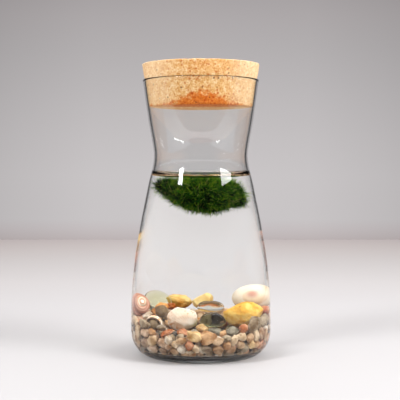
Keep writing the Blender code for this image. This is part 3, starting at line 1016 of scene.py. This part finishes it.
make_stone("rust_pebble", rust_rock, size=(4.6, 3.4, 3.4), seed=31, chips=0.02)

# %% [markdown]
# Glass nuggets: drops of melted glass, domed above and flatter below. They lie in water, so they bend
# light by the smaller ratio, and their colour comes from the light that the glass takes up on its way
# through, not from paint.

# %% Glass nuggets
def nugget_material(name, absorbed, density, tint):
    made, tree, shader = new_material(
        name, base_color=(1, 1, 1, 1), roughness=0.0, ior=WET_GLASS_IOR, transmission_weight=1.0
    )
    tree.links.new(relief(tree, 320.0, 0.1 * MM), shader.inputs["Normal"])
    pass_light(tree, shader, tint)
    inside = add_node(tree, "ShaderNodeVolumeAbsorption", {"Color": absorbed, "Density": density})
    tree.links.new(inside.outputs["Volume"], tree.nodes["Material Output"].inputs["Volume"])
    return made


def make_nugget(node, radius, thickness, turn, material):
    crown = thickness * 0.62
    foot = thickness - crown
    rings = []
    for step in range(1, 40):
        a = math.pi * (step / 40 - 0.5)
        rise = (crown if a > 0 else foot) * math.sin(a)
        rings.append(ring(radius * math.cos(a) ** 0.8 * MM, rise * MM, 72))
    shape = wrapped(node, Vector((0, 0, -foot * MM)), rings, Vector((0, 0, crown * MM)))
    spin = Euler([math.radians(a) for a in turn]).to_matrix().to_4x4()
    shape.transform(spin)
    hand_over(add_object(node + "_drop", fit_to(shape, node), material), node, node)


make_nugget(
    "green_nugget", 6.9, 6.0, (58, 40, 0), nugget_material("green_glass", srgb(222, 218, 120), 120.0, (0.86, 0.86, 0.6, 1))
)
make_nugget(
    "clear_nugget", 6.5, 6.6, (-8, 2, 0), nugget_material("clear_nugget", srgb(226, 226, 206), 60.0, (0.93, 0.93, 0.88, 1))
)
make_nugget(
    "dark_nugget", 6.9, 8.2, (-6, 4, 0), nugget_material("dark_glass", srgb(164, 184, 70), 150.0, (0.6, 0.66, 0.36, 1))
)

# %% [markdown]
# Sea shells. A snail shell is a tube wound in a spiral round an axis, each turn a little wider. Seen as
# a ball with one spiral seam it is a short formula, and the turn at each point is kept as an attribute,
# so that the colour bands wind with the shell. The turn jumps at one meridian, so its cosine and sine
# are kept instead, which run on without a seam.

# %% Wind the snail shells
def spiral_shell(node, size, turn, turns, groove, ribs):
    sides, bands = 200, 110
    rings, cycle = [], [(1.0, 0.0, 0.0)]
    for band in range(1, bands):
        polar = math.pi * band / bands
        points = []
        for i in range(sides):
            angle = 2 * math.pi * i / sides
            whorl = turns * (polar / math.pi) ** 0.8 - angle / (2 * math.pi)
            crest = abs(math.sin(math.pi * whorl)) ** 0.6
            reach = 1.0 - groove * (1.0 - crest) * math.sin(polar) ** 0.5
            reach += ribs * math.sin(2 * math.pi * whorl * 5) * math.sin(polar)
            reach += 0.4 * ribs * noise.noise(Vector((angle * 14, whorl * 2, 0.5)))
            flat = reach * math.sin(polar)
            local = Vector((size[0] * flat * math.cos(angle), size[1] * flat * math.sin(angle), size[2] * reach * math.cos(polar)))
            points.append(local * MM)
            cycle.append((math.cos(2 * math.pi * whorl), math.sin(2 * math.pi * whorl), polar / math.pi))
        rings.append(points)
    cycle.append((1.0, 0.0, 1.0))
    shape = wrapped(node, Vector((0, 0, size[2] * MM)), rings, Vector((0, 0, -size[2] * MM)))
    winding = shape.attributes.new("winding", "FLOAT_VECTOR", "POINT")
    winding.data.foreach_set("vector", [value for each in cycle for value in each])
    shape.transform(Euler([math.radians(a) for a in turn]).to_matrix().to_4x4())
    return fit_to(shape, node)


def winding_of(tree):
    """The place across the whorl, 0 to 1 from seam to seam, and how far from the apex."""
    vector = add_node(tree, "ShaderNodeAttribute", attribute_name="winding").outputs["Vector"]
    parts = add_node(tree, "ShaderNodeSeparateXYZ", {"Vector": vector})
    turn = maths(tree, "ARCTAN2", parts.outputs["Y"], parts.outputs["X"])
    across = maths(tree, "FRACT", maths(tree, "DIVIDE", turn, 2 * math.pi))
    return across, parts.outputs["Z"]


def turban_material():
    made, tree, shader = new_material("turban_shell", roughness=0.4, **SUBMERGED)
    across, apex = winding_of(tree)
    bands = ramp(
        tree,
        across,
        [
            (0.0, srgb(150, 98, 80)),
            (0.2, srgb(206, 158, 138)),
            (0.4, srgb(184, 130, 108)),
            (0.6, srgb(214, 170, 150)),
            (0.8, srgb(176, 120, 98)),
            (1.0, srgb(150, 98, 80)),
        ],
    )
    fleck, cloud = speckle(tree, 900.0, 0.5)
    spotted = mix(tree, maths(tree, "MULTIPLY", fleck, 0.6), bands, srgb(176, 98, 56))
    spire = ramp(
        tree,
        apex,
        [
            (0.0, srgb(252, 246, 236)),
            (0.05, srgb(250, 240, 226)),
            (0.075, srgb(206, 128, 76)),
            (0.10, srgb(244, 226, 200)),
            (0.13, srgb(246, 230, 206)),
            (0.16, srgb(200, 134, 100)),
            (0.19, srgb(232, 196, 168)),
            (0.225, srgb(186, 124, 100)),
            (0.27, srgb(218, 174, 152)),
            (0.31, srgb(178, 120, 100)),
        ],
    )
    crown = remap(tree, apex, 0.40, 0.28)
    tree.links.new(mix(tree, crown, spotted, spire), shader.inputs["Base Color"])
    tree.links.new(relief(tree, 900.0, 0.15 * MM), shader.inputs["Normal"])
    return made


def moon_material():
    made, tree, shader = new_material("moon_shell", roughness=0.3, **SUBMERGED)
    across, apex = winding_of(tree)
    place = add_node(tree, "ShaderNodeSeparateXYZ", {"Vector": object_point(tree)})
    fleck, cloud = speckle(tree, 500.0, 0.3)
    base = mix(tree, cloud, srgb(248, 238, 220), srgb(240, 222, 192))
    banded = mix(tree, remap(tree, across, 0.55, 0.95, 0.0, 0.4), base, srgb(236, 198, 158))
    spot = remap(tree, apex, 0.14, 0.02)
    tipped = mix(tree, maths(tree, "MULTIPLY", spot, 0.8), banded, srgb(204, 140, 124))
    low = remap(tree, place.outputs["Z"], 31 * MM, 28 * MM)
    tree.links.new(mix(tree, maths(tree, "MULTIPLY", low, 0.8), tipped, srgb(178, 92, 62)), shader.inputs["Base Color"])
    tree.links.new(relief(tree, 500.0, 0.08 * MM), shader.inputs["Normal"])
    return made


turban = spiral_shell("turban_shell", (7.3, 7.0, 6.6), (62, 0, 14), 3.4, 0.26, 0.012)
hand_over(add_object("turban_shell_wound", turban, turban_material()), "turban_shell", "turban_shell")
moon = spiral_shell("moon_shell", (9.6, 8.0, 7.0), (66, 0, 6), 2.2, 0.05, 0.003)
hand_over(add_object("moon_shell_wound", moon, moon_material()), "moon_shell", "moon_shell")

# %% [markdown]
# Two more shells: a round white one, its dome worn and finely ridged, and half of a small bivalve that
# holds a brown pebble in its hollow. The valve is a thin cap of two walls with a fan of ribs.

# %% White shells
def white_shell_material():
    made, tree, shader = new_material("white_shell", roughness=0.4, **SUBMERGED)
    fleck, cloud = speckle(tree, 620.0, 0.34)
    base = mix(tree, cloud, srgb(252, 240, 224), srgb(238, 212, 184))
    dotted = mix(tree, maths(tree, "MULTIPLY", fleck, 0.7), base, srgb(214, 160, 112))
    place = add_node(tree, "ShaderNodeSeparateXYZ", {"Vector": object_point(tree)})
    ragged = add_node(tree, "ShaderNodeTexNoise", {"Vector": object_point(tree), "Scale": 500.0, "Detail": 5.0})
    toward = maths(tree, "ADD", place.outputs["X"], maths(tree, "MULTIPLY", place.outputs["Z"], 1.1))
    low_left = remap(tree, toward, 14 * MM, 9 * MM)
    patch = maths(tree, "MULTIPLY", low_left, remap(tree, ragged.outputs["Fac"], 0.46, 0.6))
    tree.links.new(mix(tree, maths(tree, "MULTIPLY", patch, 0.8), dotted, srgb(214, 150, 78)), shader.inputs["Base Color"])
    tree.links.new(relief(tree, 800.0, 0.16 * MM), shader.inputs["Normal"])
    return made


white_shell_finish = white_shell_material()
dome = worn_ball(6, (7.9, 4.9, 7.5), rough=0.10, seed=8)
for vert in dome.verts:
    radial = math.atan2(vert.co.z + 6 * MM, vert.co.x - 5 * MM)
    ridge = math.sin(radial * 46) * 0.05 * MM + noise.noise(vert.co * 500) * 0.12 * MM
    vert.co += vert.co.normalized() * ridge
dome = fit_to(mesh_of("white_shell", dome), "white_shell")
hand_over(add_object("white_shell_ridged", dome, white_shell_finish), "white_shell", "white_shell")


def half_shell(radius, wall, turn):
    sides, ribs = 180, 26
    slopes = [math.radians(a) for a in spaced(4, 96, 30)]
    outer = [(radius * math.sin(a), radius * math.cos(a), 1.0) for a in slopes]
    inner = [((radius - wall) * math.sin(a), (radius - wall) * math.cos(a), 0.4) for a in reversed(slopes)]
    rings = []
    for r, z, strength in outer + inner:
        points = []
        for i in range(sides):
            a = 2 * math.pi * i / sides
            rib = 1.0 - 0.035 * strength * (0.5 - 0.5 * math.cos(ribs * a)) * (r / radius)
            points.append(Vector((r * rib * math.cos(a), r * rib * math.sin(a), z)) * MM)
        rings.append(points)
    shape = wrapped("cup_shell", Vector((0, 0, radius * MM)), rings, Vector((0, 0, (radius - wall) * MM)))
    shape.transform(Euler([math.radians(a) for a in turn]).to_matrix().to_4x4())
    return fit_to(shape, "cup_shell")


valve = half_shell(6.0, 0.8, (-62, 0, -26))
hand_over(add_object("cup_shell_ribbed", valve, white_shell_finish), "white_shell", "cup_shell")

# %% [markdown]
# The gravel is washed river gravel, four to nine millimetres. The stones against the glass in front are
# what one sees, so each of those is laid one by one: where it lies round the wall, how high, how wide and
# tall, how it leans, and its colour. Behind and between them Geometry Nodes scatter some hundreds of
# plainer stones over the heap, and a dark core of painted shade fills the rest.

# %% Gravel colours and material
GRAVEL = {
    "white": srgb(238, 224, 206),
    "cream": srgb(226, 196, 154),
    "pink": srgb(214, 176, 142),
    "tan": srgb(204, 160, 108),
    "ochre": srgb(212, 152, 76),
    "yellow": srgb(232, 188, 108),
    "orange": srgb(212, 122, 38),
    "flame": srgb(250, 166, 24),
    "brown": srgb(150, 106, 60),
    "olive": srgb(142, 116, 72),
    "moss_grey": srgb(84, 78, 44),
    "grey": srgb(166, 150, 128),
    "slate": srgb(70, 62, 58),
}


def gravel_material():
    """Each stone carries its own tint; flecks and a cloud break it up."""
    made, tree, shader = new_material("gravel", roughness=0.5, **SUBMERGED)
    tint = add_node(tree, "ShaderNodeAttribute", attribute_name="tint").outputs["Color"]
    fleck, cloud = speckle(tree, 800.0, 0.36)
    dark = mix(tree, 1.0, tint, srgb(184, 164, 138), "MULTIPLY")
    pale = mix(tree, 0.3, tint, srgb(240, 226, 206))
    varied = mix(tree, cloud, dark, pale)
    flecked = mix(tree, maths(tree, "MULTIPLY", fleck, 0.55), varied, mix(tree, 1.0, tint, srgb(150, 118, 88), "MULTIPLY"))
    tree.links.new(flecked, shader.inputs["Base Color"])
    tree.links.new(relief(tree, 900.0, 0.2 * MM), shader.inputs["Normal"])
    return made


gravel_finish = gravel_material()

# %% Lay the front stones one by one
# Azimuth in degrees from the front, middle height, width and height in mm, lean in degrees, colour.
FRONT_STONES = (
    (-72, 22.9, 9.5, 5.6, 10, "cream"),
    (-66, 16.6, 6.0, 9.4, 8, "cream"),
    (-69, 11.2, 7.0, 5.6, 20, "tan"),
    (-55, 22.3, 9.6, 5.8, 14, "olive"),
    (-54, 17.0, 8.4, 5.2, 0, "pink"),
    (-55, 11.5, 9.0, 5.4, -14, "brown"),
    (-45, 18.4, 5.2, 4.0, 10, "ochre"),
    (-45, 13.6, 8.6, 6.2, -20, "cream"),
    (-46, 9.2, 7.0, 4.2, 10, "pink"),
    (-34.5, 12.9, 5.6, 5.0, 30, "pink"),
    (-35, 8.7, 5.6, 3.6, 0, "brown"),
    (-28, 15.1, 5.2, 4.7, 45, "white"),
    (-28.5, 11.2, 5.4, 3.8, -10, "pink"),
    (-22, 12.7, 4.6, 4.0, 30, "cream"),
    (-23.5, 9.2, 5.4, 3.8, 0, "tan"),
    (-16, 14.8, 7.0, 4.1, -8, "tan"),
    (-16.7, 9.9, 5.2, 4.6, 20, "white"),
    (-9.5, 12.4, 5.4, 5.2, 30, "orange"),
    (-9.8, 8.6, 4.6, 3.0, 0, "white"),
    (-4.2, 10.6, 4.4, 4.8, -30, "cream"),
    (-4.8, 17.6, 9.6, 6.4, 24, "yellow"),
    (5.2, 16.9, 9.8, 8.0, 0, "ochre"),
    (3.6, 10.2, 8.4, 4.4, 4, "grey"),
    (14.6, 14.6, 6.6, 4.8, -10, "tan"),
    (15.2, 10.0, 7.0, 4.8, 12, "tan"),
    (22.4, 12.0, 5.6, 5.0, -24, "ochre"),
    (27.2, 9.8, 6.8, 4.4, -24, "pink"),
    (21.6, 16.2, 5.6, 3.8, 0, "olive"),
    (28.8, 14.8, 6.6, 5.2, -30, "cream"),
    (36.3, 16.2, 6.6, 4.6, 10, "cream"),
    (35.6, 11.6, 6.0, 4.6, 30, "tan"),
    (45.4, 15.0, 5.4, 5.6, 30, "tan"),
    (41.8, 9.4, 6.4, 4.4, 0, "olive"),
    (48.6, 11.0, 6.6, 4.8, 20, "yellow"),
    (53, 16.0, 5.2, 7.2, -10, "cream"),
    (55, 10.6, 6.0, 4.2, 8, "ochre"),
    (61, 16.4, 6.0, 7.6, 10, "pink"),
    (63, 10.2, 7.4, 4.4, -20, "orange"),
    (70, 14.6, 6.4, 8.0, 0, "tan"),
    (50, 21.8, 9.4, 7.8, -10, "olive"),
    (63, 22.8, 8.2, 6.6, 10, "olive"),
)
STONE_DEPTH = 4.6 * MM
GLASS_GAP = 0.22 * MM


def add_tint(shape, colour):
    layer = shape.verts.layers.float_color.get("tint") or shape.verts.layers.float_color.new("tint")
    for vert in shape.verts:
        vert[layer] = colour


def keep_inside(point):
    """Holds a point of the gravel inside the glass, as a stone pressed on the wall would stop there."""
    point.z = max(point.z, FLOOR + GLASS_GAP)
    limit = inner_radius(point.z) - GLASS_GAP
    out = math.hypot(point.x, point.y)
    if out > limit:
        point.x *= limit / out
        point.y *= limit / out
    return point


def join(shapes, name):
    whole = bmesh.new()
    for shape in shapes:
        piece = mesh_of("part", shape)
        whole.from_mesh(piece)
        bpy.data.meshes.remove(piece)
    return mesh_of(name, whole)


def wall_stone(seed, azimuth, height, width, tall, lean, colour):
    """One stone with its flat side towards the glass."""
    shape = worn_ball(4, (0.5 * width, 0.5 * STONE_DEPTH / MM, 0.5 * tall), rough=0.3, seed=seed, chips=0.03)
    turned(shape, (0, lean, 0))
    reach = inner_radius(height * MM) - GLASS_GAP - 0.42 * STONE_DEPTH
    place = Matrix.Rotation(math.radians(azimuth), 4, "Z") @ Matrix.Translation((0, -reach, height * MM))
    bmesh.ops.transform(shape, verts=shape.verts, matrix=place)
    for vert in shape.verts:
        vert.co = keep_inside(vert.co)
    add_tint(shape, GRAVEL[colour])
    return shape


# Stones on the slope behind the wall row: place in mm, half sizes, turn, colour
SLOPE_STONES = (
    ((-19.2, -30.0, 18.3), (4.2, 2.4, 1.7), (0, -24, 10), "orange"),
    ((-13.7, -27.0, 16.6), (3.4, 2.8, 2.4), (0, 0, 20), "slate"),
    ((-21.8, -27.0, 21.0), (2.8, 2.4, 1.9), (0, 0, 0), "grey"),
    ((-9.6, -29.5, 18.6), (3.4, 2.8, 2.3), (0, 10, 0), "orange"),
    ((7.9, -31.0, 19.2), (4.0, 3.0, 2.7), (0, 14, 0), "moss_grey"),
    ((17.6, -31.0, 19.6), (3.8, 3.2, 3.0), (0, -10, 0), "moss_grey"),
    ((24.0, -28.5, 20.6), (3.2, 3.0, 2.8), (0, 8, 0), "orange"),
    ((0.4, -26.0, 20.8), (3.2, 3.0, 2.4), (0, 30, 0), "yellow"),
    ((-30.5, -17.5, 22.0), (3.6, 3.0, 2.4), (0, 20, 0), "olive"),
    ((-21.5, -16.0, 22.4), (2.8, 2.4, 2.0), (0, 0, 0), "olive"),
    ((30.5, -20.0, 22.2), (4.4, 3.6, 4.6), (0, -14, 0), "olive"),
    ((35.0, -11.0, 23.2), (4.4, 3.6, 3.8), (0, 10, 0), "olive"),
    ((-18.2, -0.2, 29.6), (3.4, 2.4, 3.0), (0, 0, 0), "flame"),
    ((-21.6, -2.6, 27.4), (2.6, 2.0, 2.0), (0, 30, 0), "flame"),
    ((-13.6, 3.2, 30.2), (2.6, 2.2, 2.0), (0, 0, 0), "orange"),
    ((-27.4, -8.6, 26.2), (3.4, 2.0, 1.6), (0, -30, 0), "white"),
)


def slope_stone(seed, place, half, turn, colour):
    shape = turned(worn_ball(4, half, rough=0.24, seed=seed, chips=0.03), turn)
    bmesh.ops.translate(shape, verts=shape.verts, vec=Vector(place) * MM)
    for vert in shape.verts:
        vert.co = keep_inside(vert.co)
    add_tint(shape, GRAVEL[colour])
    return shape


front = [wall_stone(100 + i, *row) for i, row in enumerate(FRONT_STONES)]
front += [slope_stone(200 + i, *row) for i, row in enumerate(SLOPE_STONES)]
front_gravel = add_object("gravel_front", join(front, "gravel_front"), gravel_finish)
hand_over(front_gravel, "gravel")

# %% The heap's own form, sunk a little for the scattered stones to sit on
def gravel_surface(sink_side, sink_front, sink_top):
    """A merged copy of the gravel's solid, drawn in from the wall and from the top."""
    made = frame["nodes"]["gravel_bed"].data.copy()
    made.materials.clear()
    shape = bmesh.new()
    shape.from_mesh(made)
    bmesh.ops.remove_doubles(shape, verts=shape.verts, dist=0.001 * MM)
    bmesh.ops.subdivide_edges(shape, edges=shape.edges, cuts=1, use_grid_fill=True)
    for vert in shape.verts:
        out = math.hypot(vert.co.x, vert.co.y)
        if out > 36 * MM:
            facing = max(0.0, -vert.co.y / out - 0.25) / 0.75
            less = (out - sink_side - (sink_front - sink_side) * min(1.0, 3 * facing)) / out
            vert.co.x *= less
            vert.co.y *= less
        if vert.normal.z > 0.3:
            vert.co.z -= sink_top
    shape.to_mesh(made)
    shape.free()
    return made


# %% Stones for the scatter
def stone_kinds():
    """A few plain stones of some dozens of faces each, for the tree to pick from."""
    kinds = bpy.data.collections.new("stone_kinds")
    for i, half in enumerate(((1.0, 0.8, 0.7), (0.9, 0.85, 0.8), (1.1, 0.7, 0.6), (0.95, 0.9, 0.6), (1.0, 0.75, 0.85))):
        shape = worn_ball(2, [h / MM for h in half], rough=0.35, seed=50 + i)
        mesh = mesh_of(f"stone_kind_{i}", shape)
        mesh.shade_smooth()
        kinds.objects.link(bpy.data.objects.new(mesh.name, mesh))
    return kinds


def gravel_tree():
    tree, start, end = scatter_tree(
        "gravel scatter",
        [
            ("Stones", "NodeSocketCollection"),
            ("Spacing", "NodeSocketFloat"),
            ("Smallest", "NodeSocketFloat"),
            ("Largest", "NodeSocketFloat"),
            ("Material", "NodeSocketMaterial"),
        ],
    )
    scattered = add_node(
        tree,
        "GeometryNodeDistributePointsOnFaces",
        {
            "Mesh": start.outputs["Geometry"],
            "Distance Min": start.outputs["Spacing"],
            "Density Max": 4.0e5,
            "Seed": 4,
        },
        distribute_method="POISSON",
    )
    size = add_node(
        tree,
        "FunctionNodeRandomValue",
        {2: start.outputs["Smallest"], 3: start.outputs["Largest"], "Seed": 2},
        data_type="FLOAT",
    )
    turn = add_node(tree, "FunctionNodeRandomValue", {0: (0.0,) * 3, 1: (6.283,) * 3, "Seed": 9}, data_type="FLOAT_VECTOR")
    stones = add_node(
        tree,
        "GeometryNodeCollectionInfo",
        {"Collection": start.outputs["Stones"], "Separate Children": True, "Reset Children": True},
    )
    placed = add_node(
        tree,
        "GeometryNodeInstanceOnPoints",
        {
            "Points": scattered.outputs["Points"],
            "Instance": stones.outputs[0],
            "Pick Instance": True,
            "Rotation": turn.outputs[0],
            "Scale": size.outputs[1],
        },
    )
    pick = add_node(tree, "FunctionNodeRandomValue", {2: 0.0, 3: 1.0, "Seed": 21}, data_type="FLOAT")
    palette = [GRAVEL[name] for name in ("tan", "cream", "pink", "brown", "ochre", "olive", "white", "grey", "tan", "orange")]
    stops = [(i / len(palette), colour) for i, colour in enumerate(palette)]
    colour = ramp(tree, pick.outputs[1], stops, "CONSTANT")
    tinted = add_node(
        tree,
        "GeometryNodeStoreNamedAttribute",
        {"Geometry": placed.outputs[0], "Name": "tint", "Value": colour},
        data_type="FLOAT_COLOR",
        domain="INSTANCE",
    )
    real = add_node(tree, "GeometryNodeRealizeInstances", {"Geometry": tinted.outputs[0]})
    coloured = add_node(
        tree, "GeometryNodeSetMaterial", {"Geometry": real.outputs[0], "Material": start.outputs["Material"]}
    )
    tree.links.new(coloured.outputs[0], end.inputs["Geometry"])
    return tree


# %% Scatter the rest of the gravel and add its dark core of painted shade
def make_gravel():
    kinds = stone_kinds()
    values = {
        "Stones": kinds,
        "Spacing": 3.9 * MM,
        "Smallest": 2.3 * MM,
        "Largest": 3.5 * MM,
        "Material": gravel_finish,
    }
    mesh = run_tree("gravel_scatter", gravel_surface(2.0 * MM, 5.2 * MM, 1.4 * MM), gravel_tree(), values)
    for vert in mesh.vertices:
        vert.co = keep_inside(vert.co)
    hand_over(add_object("gravel_scatter", mesh), "gravel")
    for each in list(kinds.objects):
        bpy.data.objects.remove(each)
    bpy.data.collections.remove(kinds)
    # Painted shade: the core is a dark brown that stands for the shade deep in the heap between the stones.
    core, tree, shader = new_material("gravel_core", roughness=0.9, **SUBMERGED)
    fleck, cloud = speckle(tree, 600.0, 0.3)
    tree.links.new(mix(tree, cloud, srgb(40, 32, 24), srgb(86, 70, 52)), shader.inputs["Base Color"])
    heap = add_object("gravel_core", gravel_surface(3.6 * MM, 7.0 * MM, 3.0 * MM), core)
    hand_over(heap, "gravel", "gravel_bed")


make_gravel()

# %% [markdown]
# The studio: a pale table that ends in front of a grey wall lit in its middle, two tall soft boxes in
# front, left and right, and two large weak ones overhead. Past the table's ends the room is warm and
# dim below and pale only at the ceiling, which draws the thin dark and amber lines along the edges of
# the glass, and behind the camera it is dark, so that the glass doesn't veil what it holds.

# %% Table, wall and room
TABLE_HALF_WIDTH = 0.42
TABLE_FRONT = -0.42
TABLE_BACK = 0.97
TABLE_TOP = -0.05 * MM
APRON_HALF_WIDTH = 1.5
APRON_BACK = -0.05
WALL_HEIGHT = 1.2


def flat_mesh(name, corners):
    made = bpy.data.meshes.new(name)
    made.from_pydata(corners, [], [tuple(range(len(corners)))])
    return made


def table_material():
    made, tree, shader = new_material("table_top", roughness=0.6, specular_ior_level=0.2)
    place = add_node(tree, "ShaderNodeSeparateXYZ", {"Vector": object_point(tree)})
    # Painted light: the table's colour is graded from front to back, standing in for how the light on it rises and
    # falls along its depth.
    near = ramp(
        tree,
        remap(tree, place.outputs["Y"], -0.1, TABLE_BACK, kind="LINEAR"),
        [
            (0.0, (0.535, 0.525, 0.530, 1)),
            (0.2, (0.549, 0.535, 0.540, 1)),
            (0.3, (0.578, 0.563, 0.568, 1)),
            (0.45, (0.602, 0.578, 0.578, 1)),
            (0.65, (0.583, 0.554, 0.549, 1)),
            (0.8, (0.573, 0.530, 0.520, 1)),
            (0.93, (0.554, 0.501, 0.492, 1)),
            (1.0, (0.525, 0.477, 0.473, 1)),
        ],
    )
    tree.links.new(near, shader.inputs["Base Color"])
    return made


def wall_material():
    """A grey wall that gives its own light, brightest in the middle and darker up and outward."""
    made, tree, shader = new_material("wall", base_color=(0, 0, 0, 1), roughness=1.0, specular_ior_level=0.0)
    place = add_node(tree, "ShaderNodeSeparateXYZ", {"Vector": object_point(tree)})
    up = ramp(
        tree,
        remap(tree, place.outputs["Z"], 0.0, 0.40, kind="LINEAR"),
        [
            (0.0, srgb(190, 181, 181)),
            (0.04, srgb(198, 191, 192)),
            (0.08, srgb(202, 198, 199)),
            (0.25, srgb(202, 198, 199)),
            (0.4, srgb(197, 193, 194)),
            (0.56, srgb(190, 186, 187)),
            (0.75, srgb(180, 176, 177)),
            (0.88, srgb(174, 169, 170)),
            (1.0, srgb(165, 160, 161)),
        ],
    )
    out = maths(tree, "ABSOLUTE", place.outputs["X"])
    fade = ramp(
        tree,
        remap(tree, out, 0.0, 0.85, kind="LINEAR"),
        [
            (0.0, (1, 1, 1, 1)),
            (0.2, (0.98, 0.98, 0.98, 1)),
            (0.34, (0.88, 0.88, 0.88, 1)),
            (0.45, (0.78, 0.78, 0.78, 1)),
            (0.58, (0.6, 0.6, 0.6, 1)),
            (0.72, (0.1, 0.1, 0.1, 1)),
            (1.0, (0.03, 0.03, 0.03, 1)),
        ],
    )
    tree.links.new(mix(tree, 1.0, up, fade, "MULTIPLY"), shader.inputs["Emission Color"])
    shader.inputs["Emission Strength"].default_value = 1.0
    return made


table_outline = (
    (-APRON_HALF_WIDTH, TABLE_FRONT),
    (APRON_HALF_WIDTH, TABLE_FRONT),
    (APRON_HALF_WIDTH, APRON_BACK),
    (TABLE_HALF_WIDTH, APRON_BACK),
    (TABLE_HALF_WIDTH, TABLE_BACK),
    (-TABLE_HALF_WIDTH, TABLE_BACK),
    (-TABLE_HALF_WIDTH, APRON_BACK),
    (-APRON_HALF_WIDTH, APRON_BACK),
)
table = add_object("table_top", flat_mesh("table_top", [(x, y, TABLE_TOP) for x, y in table_outline]), table_material())
table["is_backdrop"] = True
wall = add_object(
    "studio_wall",
    flat_mesh(
        "studio_wall",
        [(-1.0, TABLE_BACK, -0.1), (1.0, TABLE_BACK, -0.1), (1.0, TABLE_BACK, WALL_HEIGHT), (-1.0, TABLE_BACK, WALL_HEIGHT)],
    ),
    wall_material(),
)
wall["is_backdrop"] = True


def make_world():
    world = bpy.data.worlds.new("room")
    world.use_nodes = True
    tree = world.node_tree
    way = add_node(tree, "ShaderNodeTexCoord").outputs["Generated"]
    parts = add_node(tree, "ShaderNodeSeparateXYZ", {"Vector": way})
    colour = ramp(
        tree,
        remap(tree, parts.outputs["Z"], -1.0, 1.0, kind="LINEAR"),
        [
            (0.0, srgb(150, 112, 76)),
            (0.46, srgb(176, 128, 84)),
            (0.55, srgb(168, 122, 80)),
            (0.58, srgb(52, 44, 40)),
            (0.72, srgb(80, 76, 76)),
            (0.85, srgb(222, 219, 219)),
        ],
    )
    unlit_front = remap(tree, parts.outputs["Y"], -0.9, -0.5, 0.12, 1.0)
    tree.links.new(colour, tree.nodes["Background"].inputs["Color"])
    tree.links.new(unlit_front, tree.nodes["Background"].inputs["Strength"])
    bpy.context.scene.world = world


make_world()

# %% Lights
def soft_box(name, azimuth, place, size, watts, tilt=0.0):
    """An area light: its azimuth from the camera, its distance and height, and its size, turned to the jar.

    The tilt, in degrees, turns it down from the level.
    """
    turn = math.radians(azimuth)
    distance, height = place
    away = Vector((math.sin(turn), -math.cos(turn), 0.0))
    facing = away * math.cos(math.radians(tilt)) + Vector((0, 0, math.sin(math.radians(tilt))))
    light = bpy.data.lights.new(name, "AREA")
    light.shape = "RECTANGLE"
    light.size, light.size_y = size
    light.energy = watts
    lamp = bpy.data.objects.new(name, light)
    lamp.location = away * distance + Vector((0, 0, height))
    lamp.rotation_euler = facing.to_track_quat("Z", "Y").to_euler()
    bpy.context.scene.collection.objects.link(lamp)


soft_box("soft_box_left", -47, (0.587, 0.60), (0.12, 0.5), 4.6, 20)
soft_box("soft_box_right", 61, (0.587, 0.60), (0.32, 0.5), 6.6, 20)
soft_box("soft_box_above", 0, (0.10, 1.2), (0.9, 0.9), 3.2, 85)
soft_box("soft_box_far", 180, (0.75, 0.9), (0.9, 0.4), 3.2, 90)

# %% Camera
FRAME_PIXELS = 400
FOCAL_PIXELS = 1011.0
SENSOR = 36.0
AXIS_PIXEL = 0.8

lens = bpy.data.cameras.new("camera")
lens.sensor_width = SENSOR
lens.lens = FOCAL_PIXELS * SENSOR / FRAME_PIXELS
lens.clip_start = 0.01
camera = bpy.data.objects.new("camera", lens)
camera.location = (0.0, -0.628, 0.1178)
camera.rotation_euler = (math.radians(90 - 1.98), 0.0, AXIS_PIXEL / FOCAL_PIXELS)
bpy.context.scene.collection.objects.link(camera)
bpy.context.scene.camera = camera
bpy.context.scene.view_settings.view_transform = "Standard"

# %% Sizes
size = {"cad": [list(corner) for corner in solid_box], "visual": [list(corner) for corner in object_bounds()]}
print("boxes in mm:", {key: [[round(c / MM, 1) for c in corner] for corner in value] for key, value in size.items()})
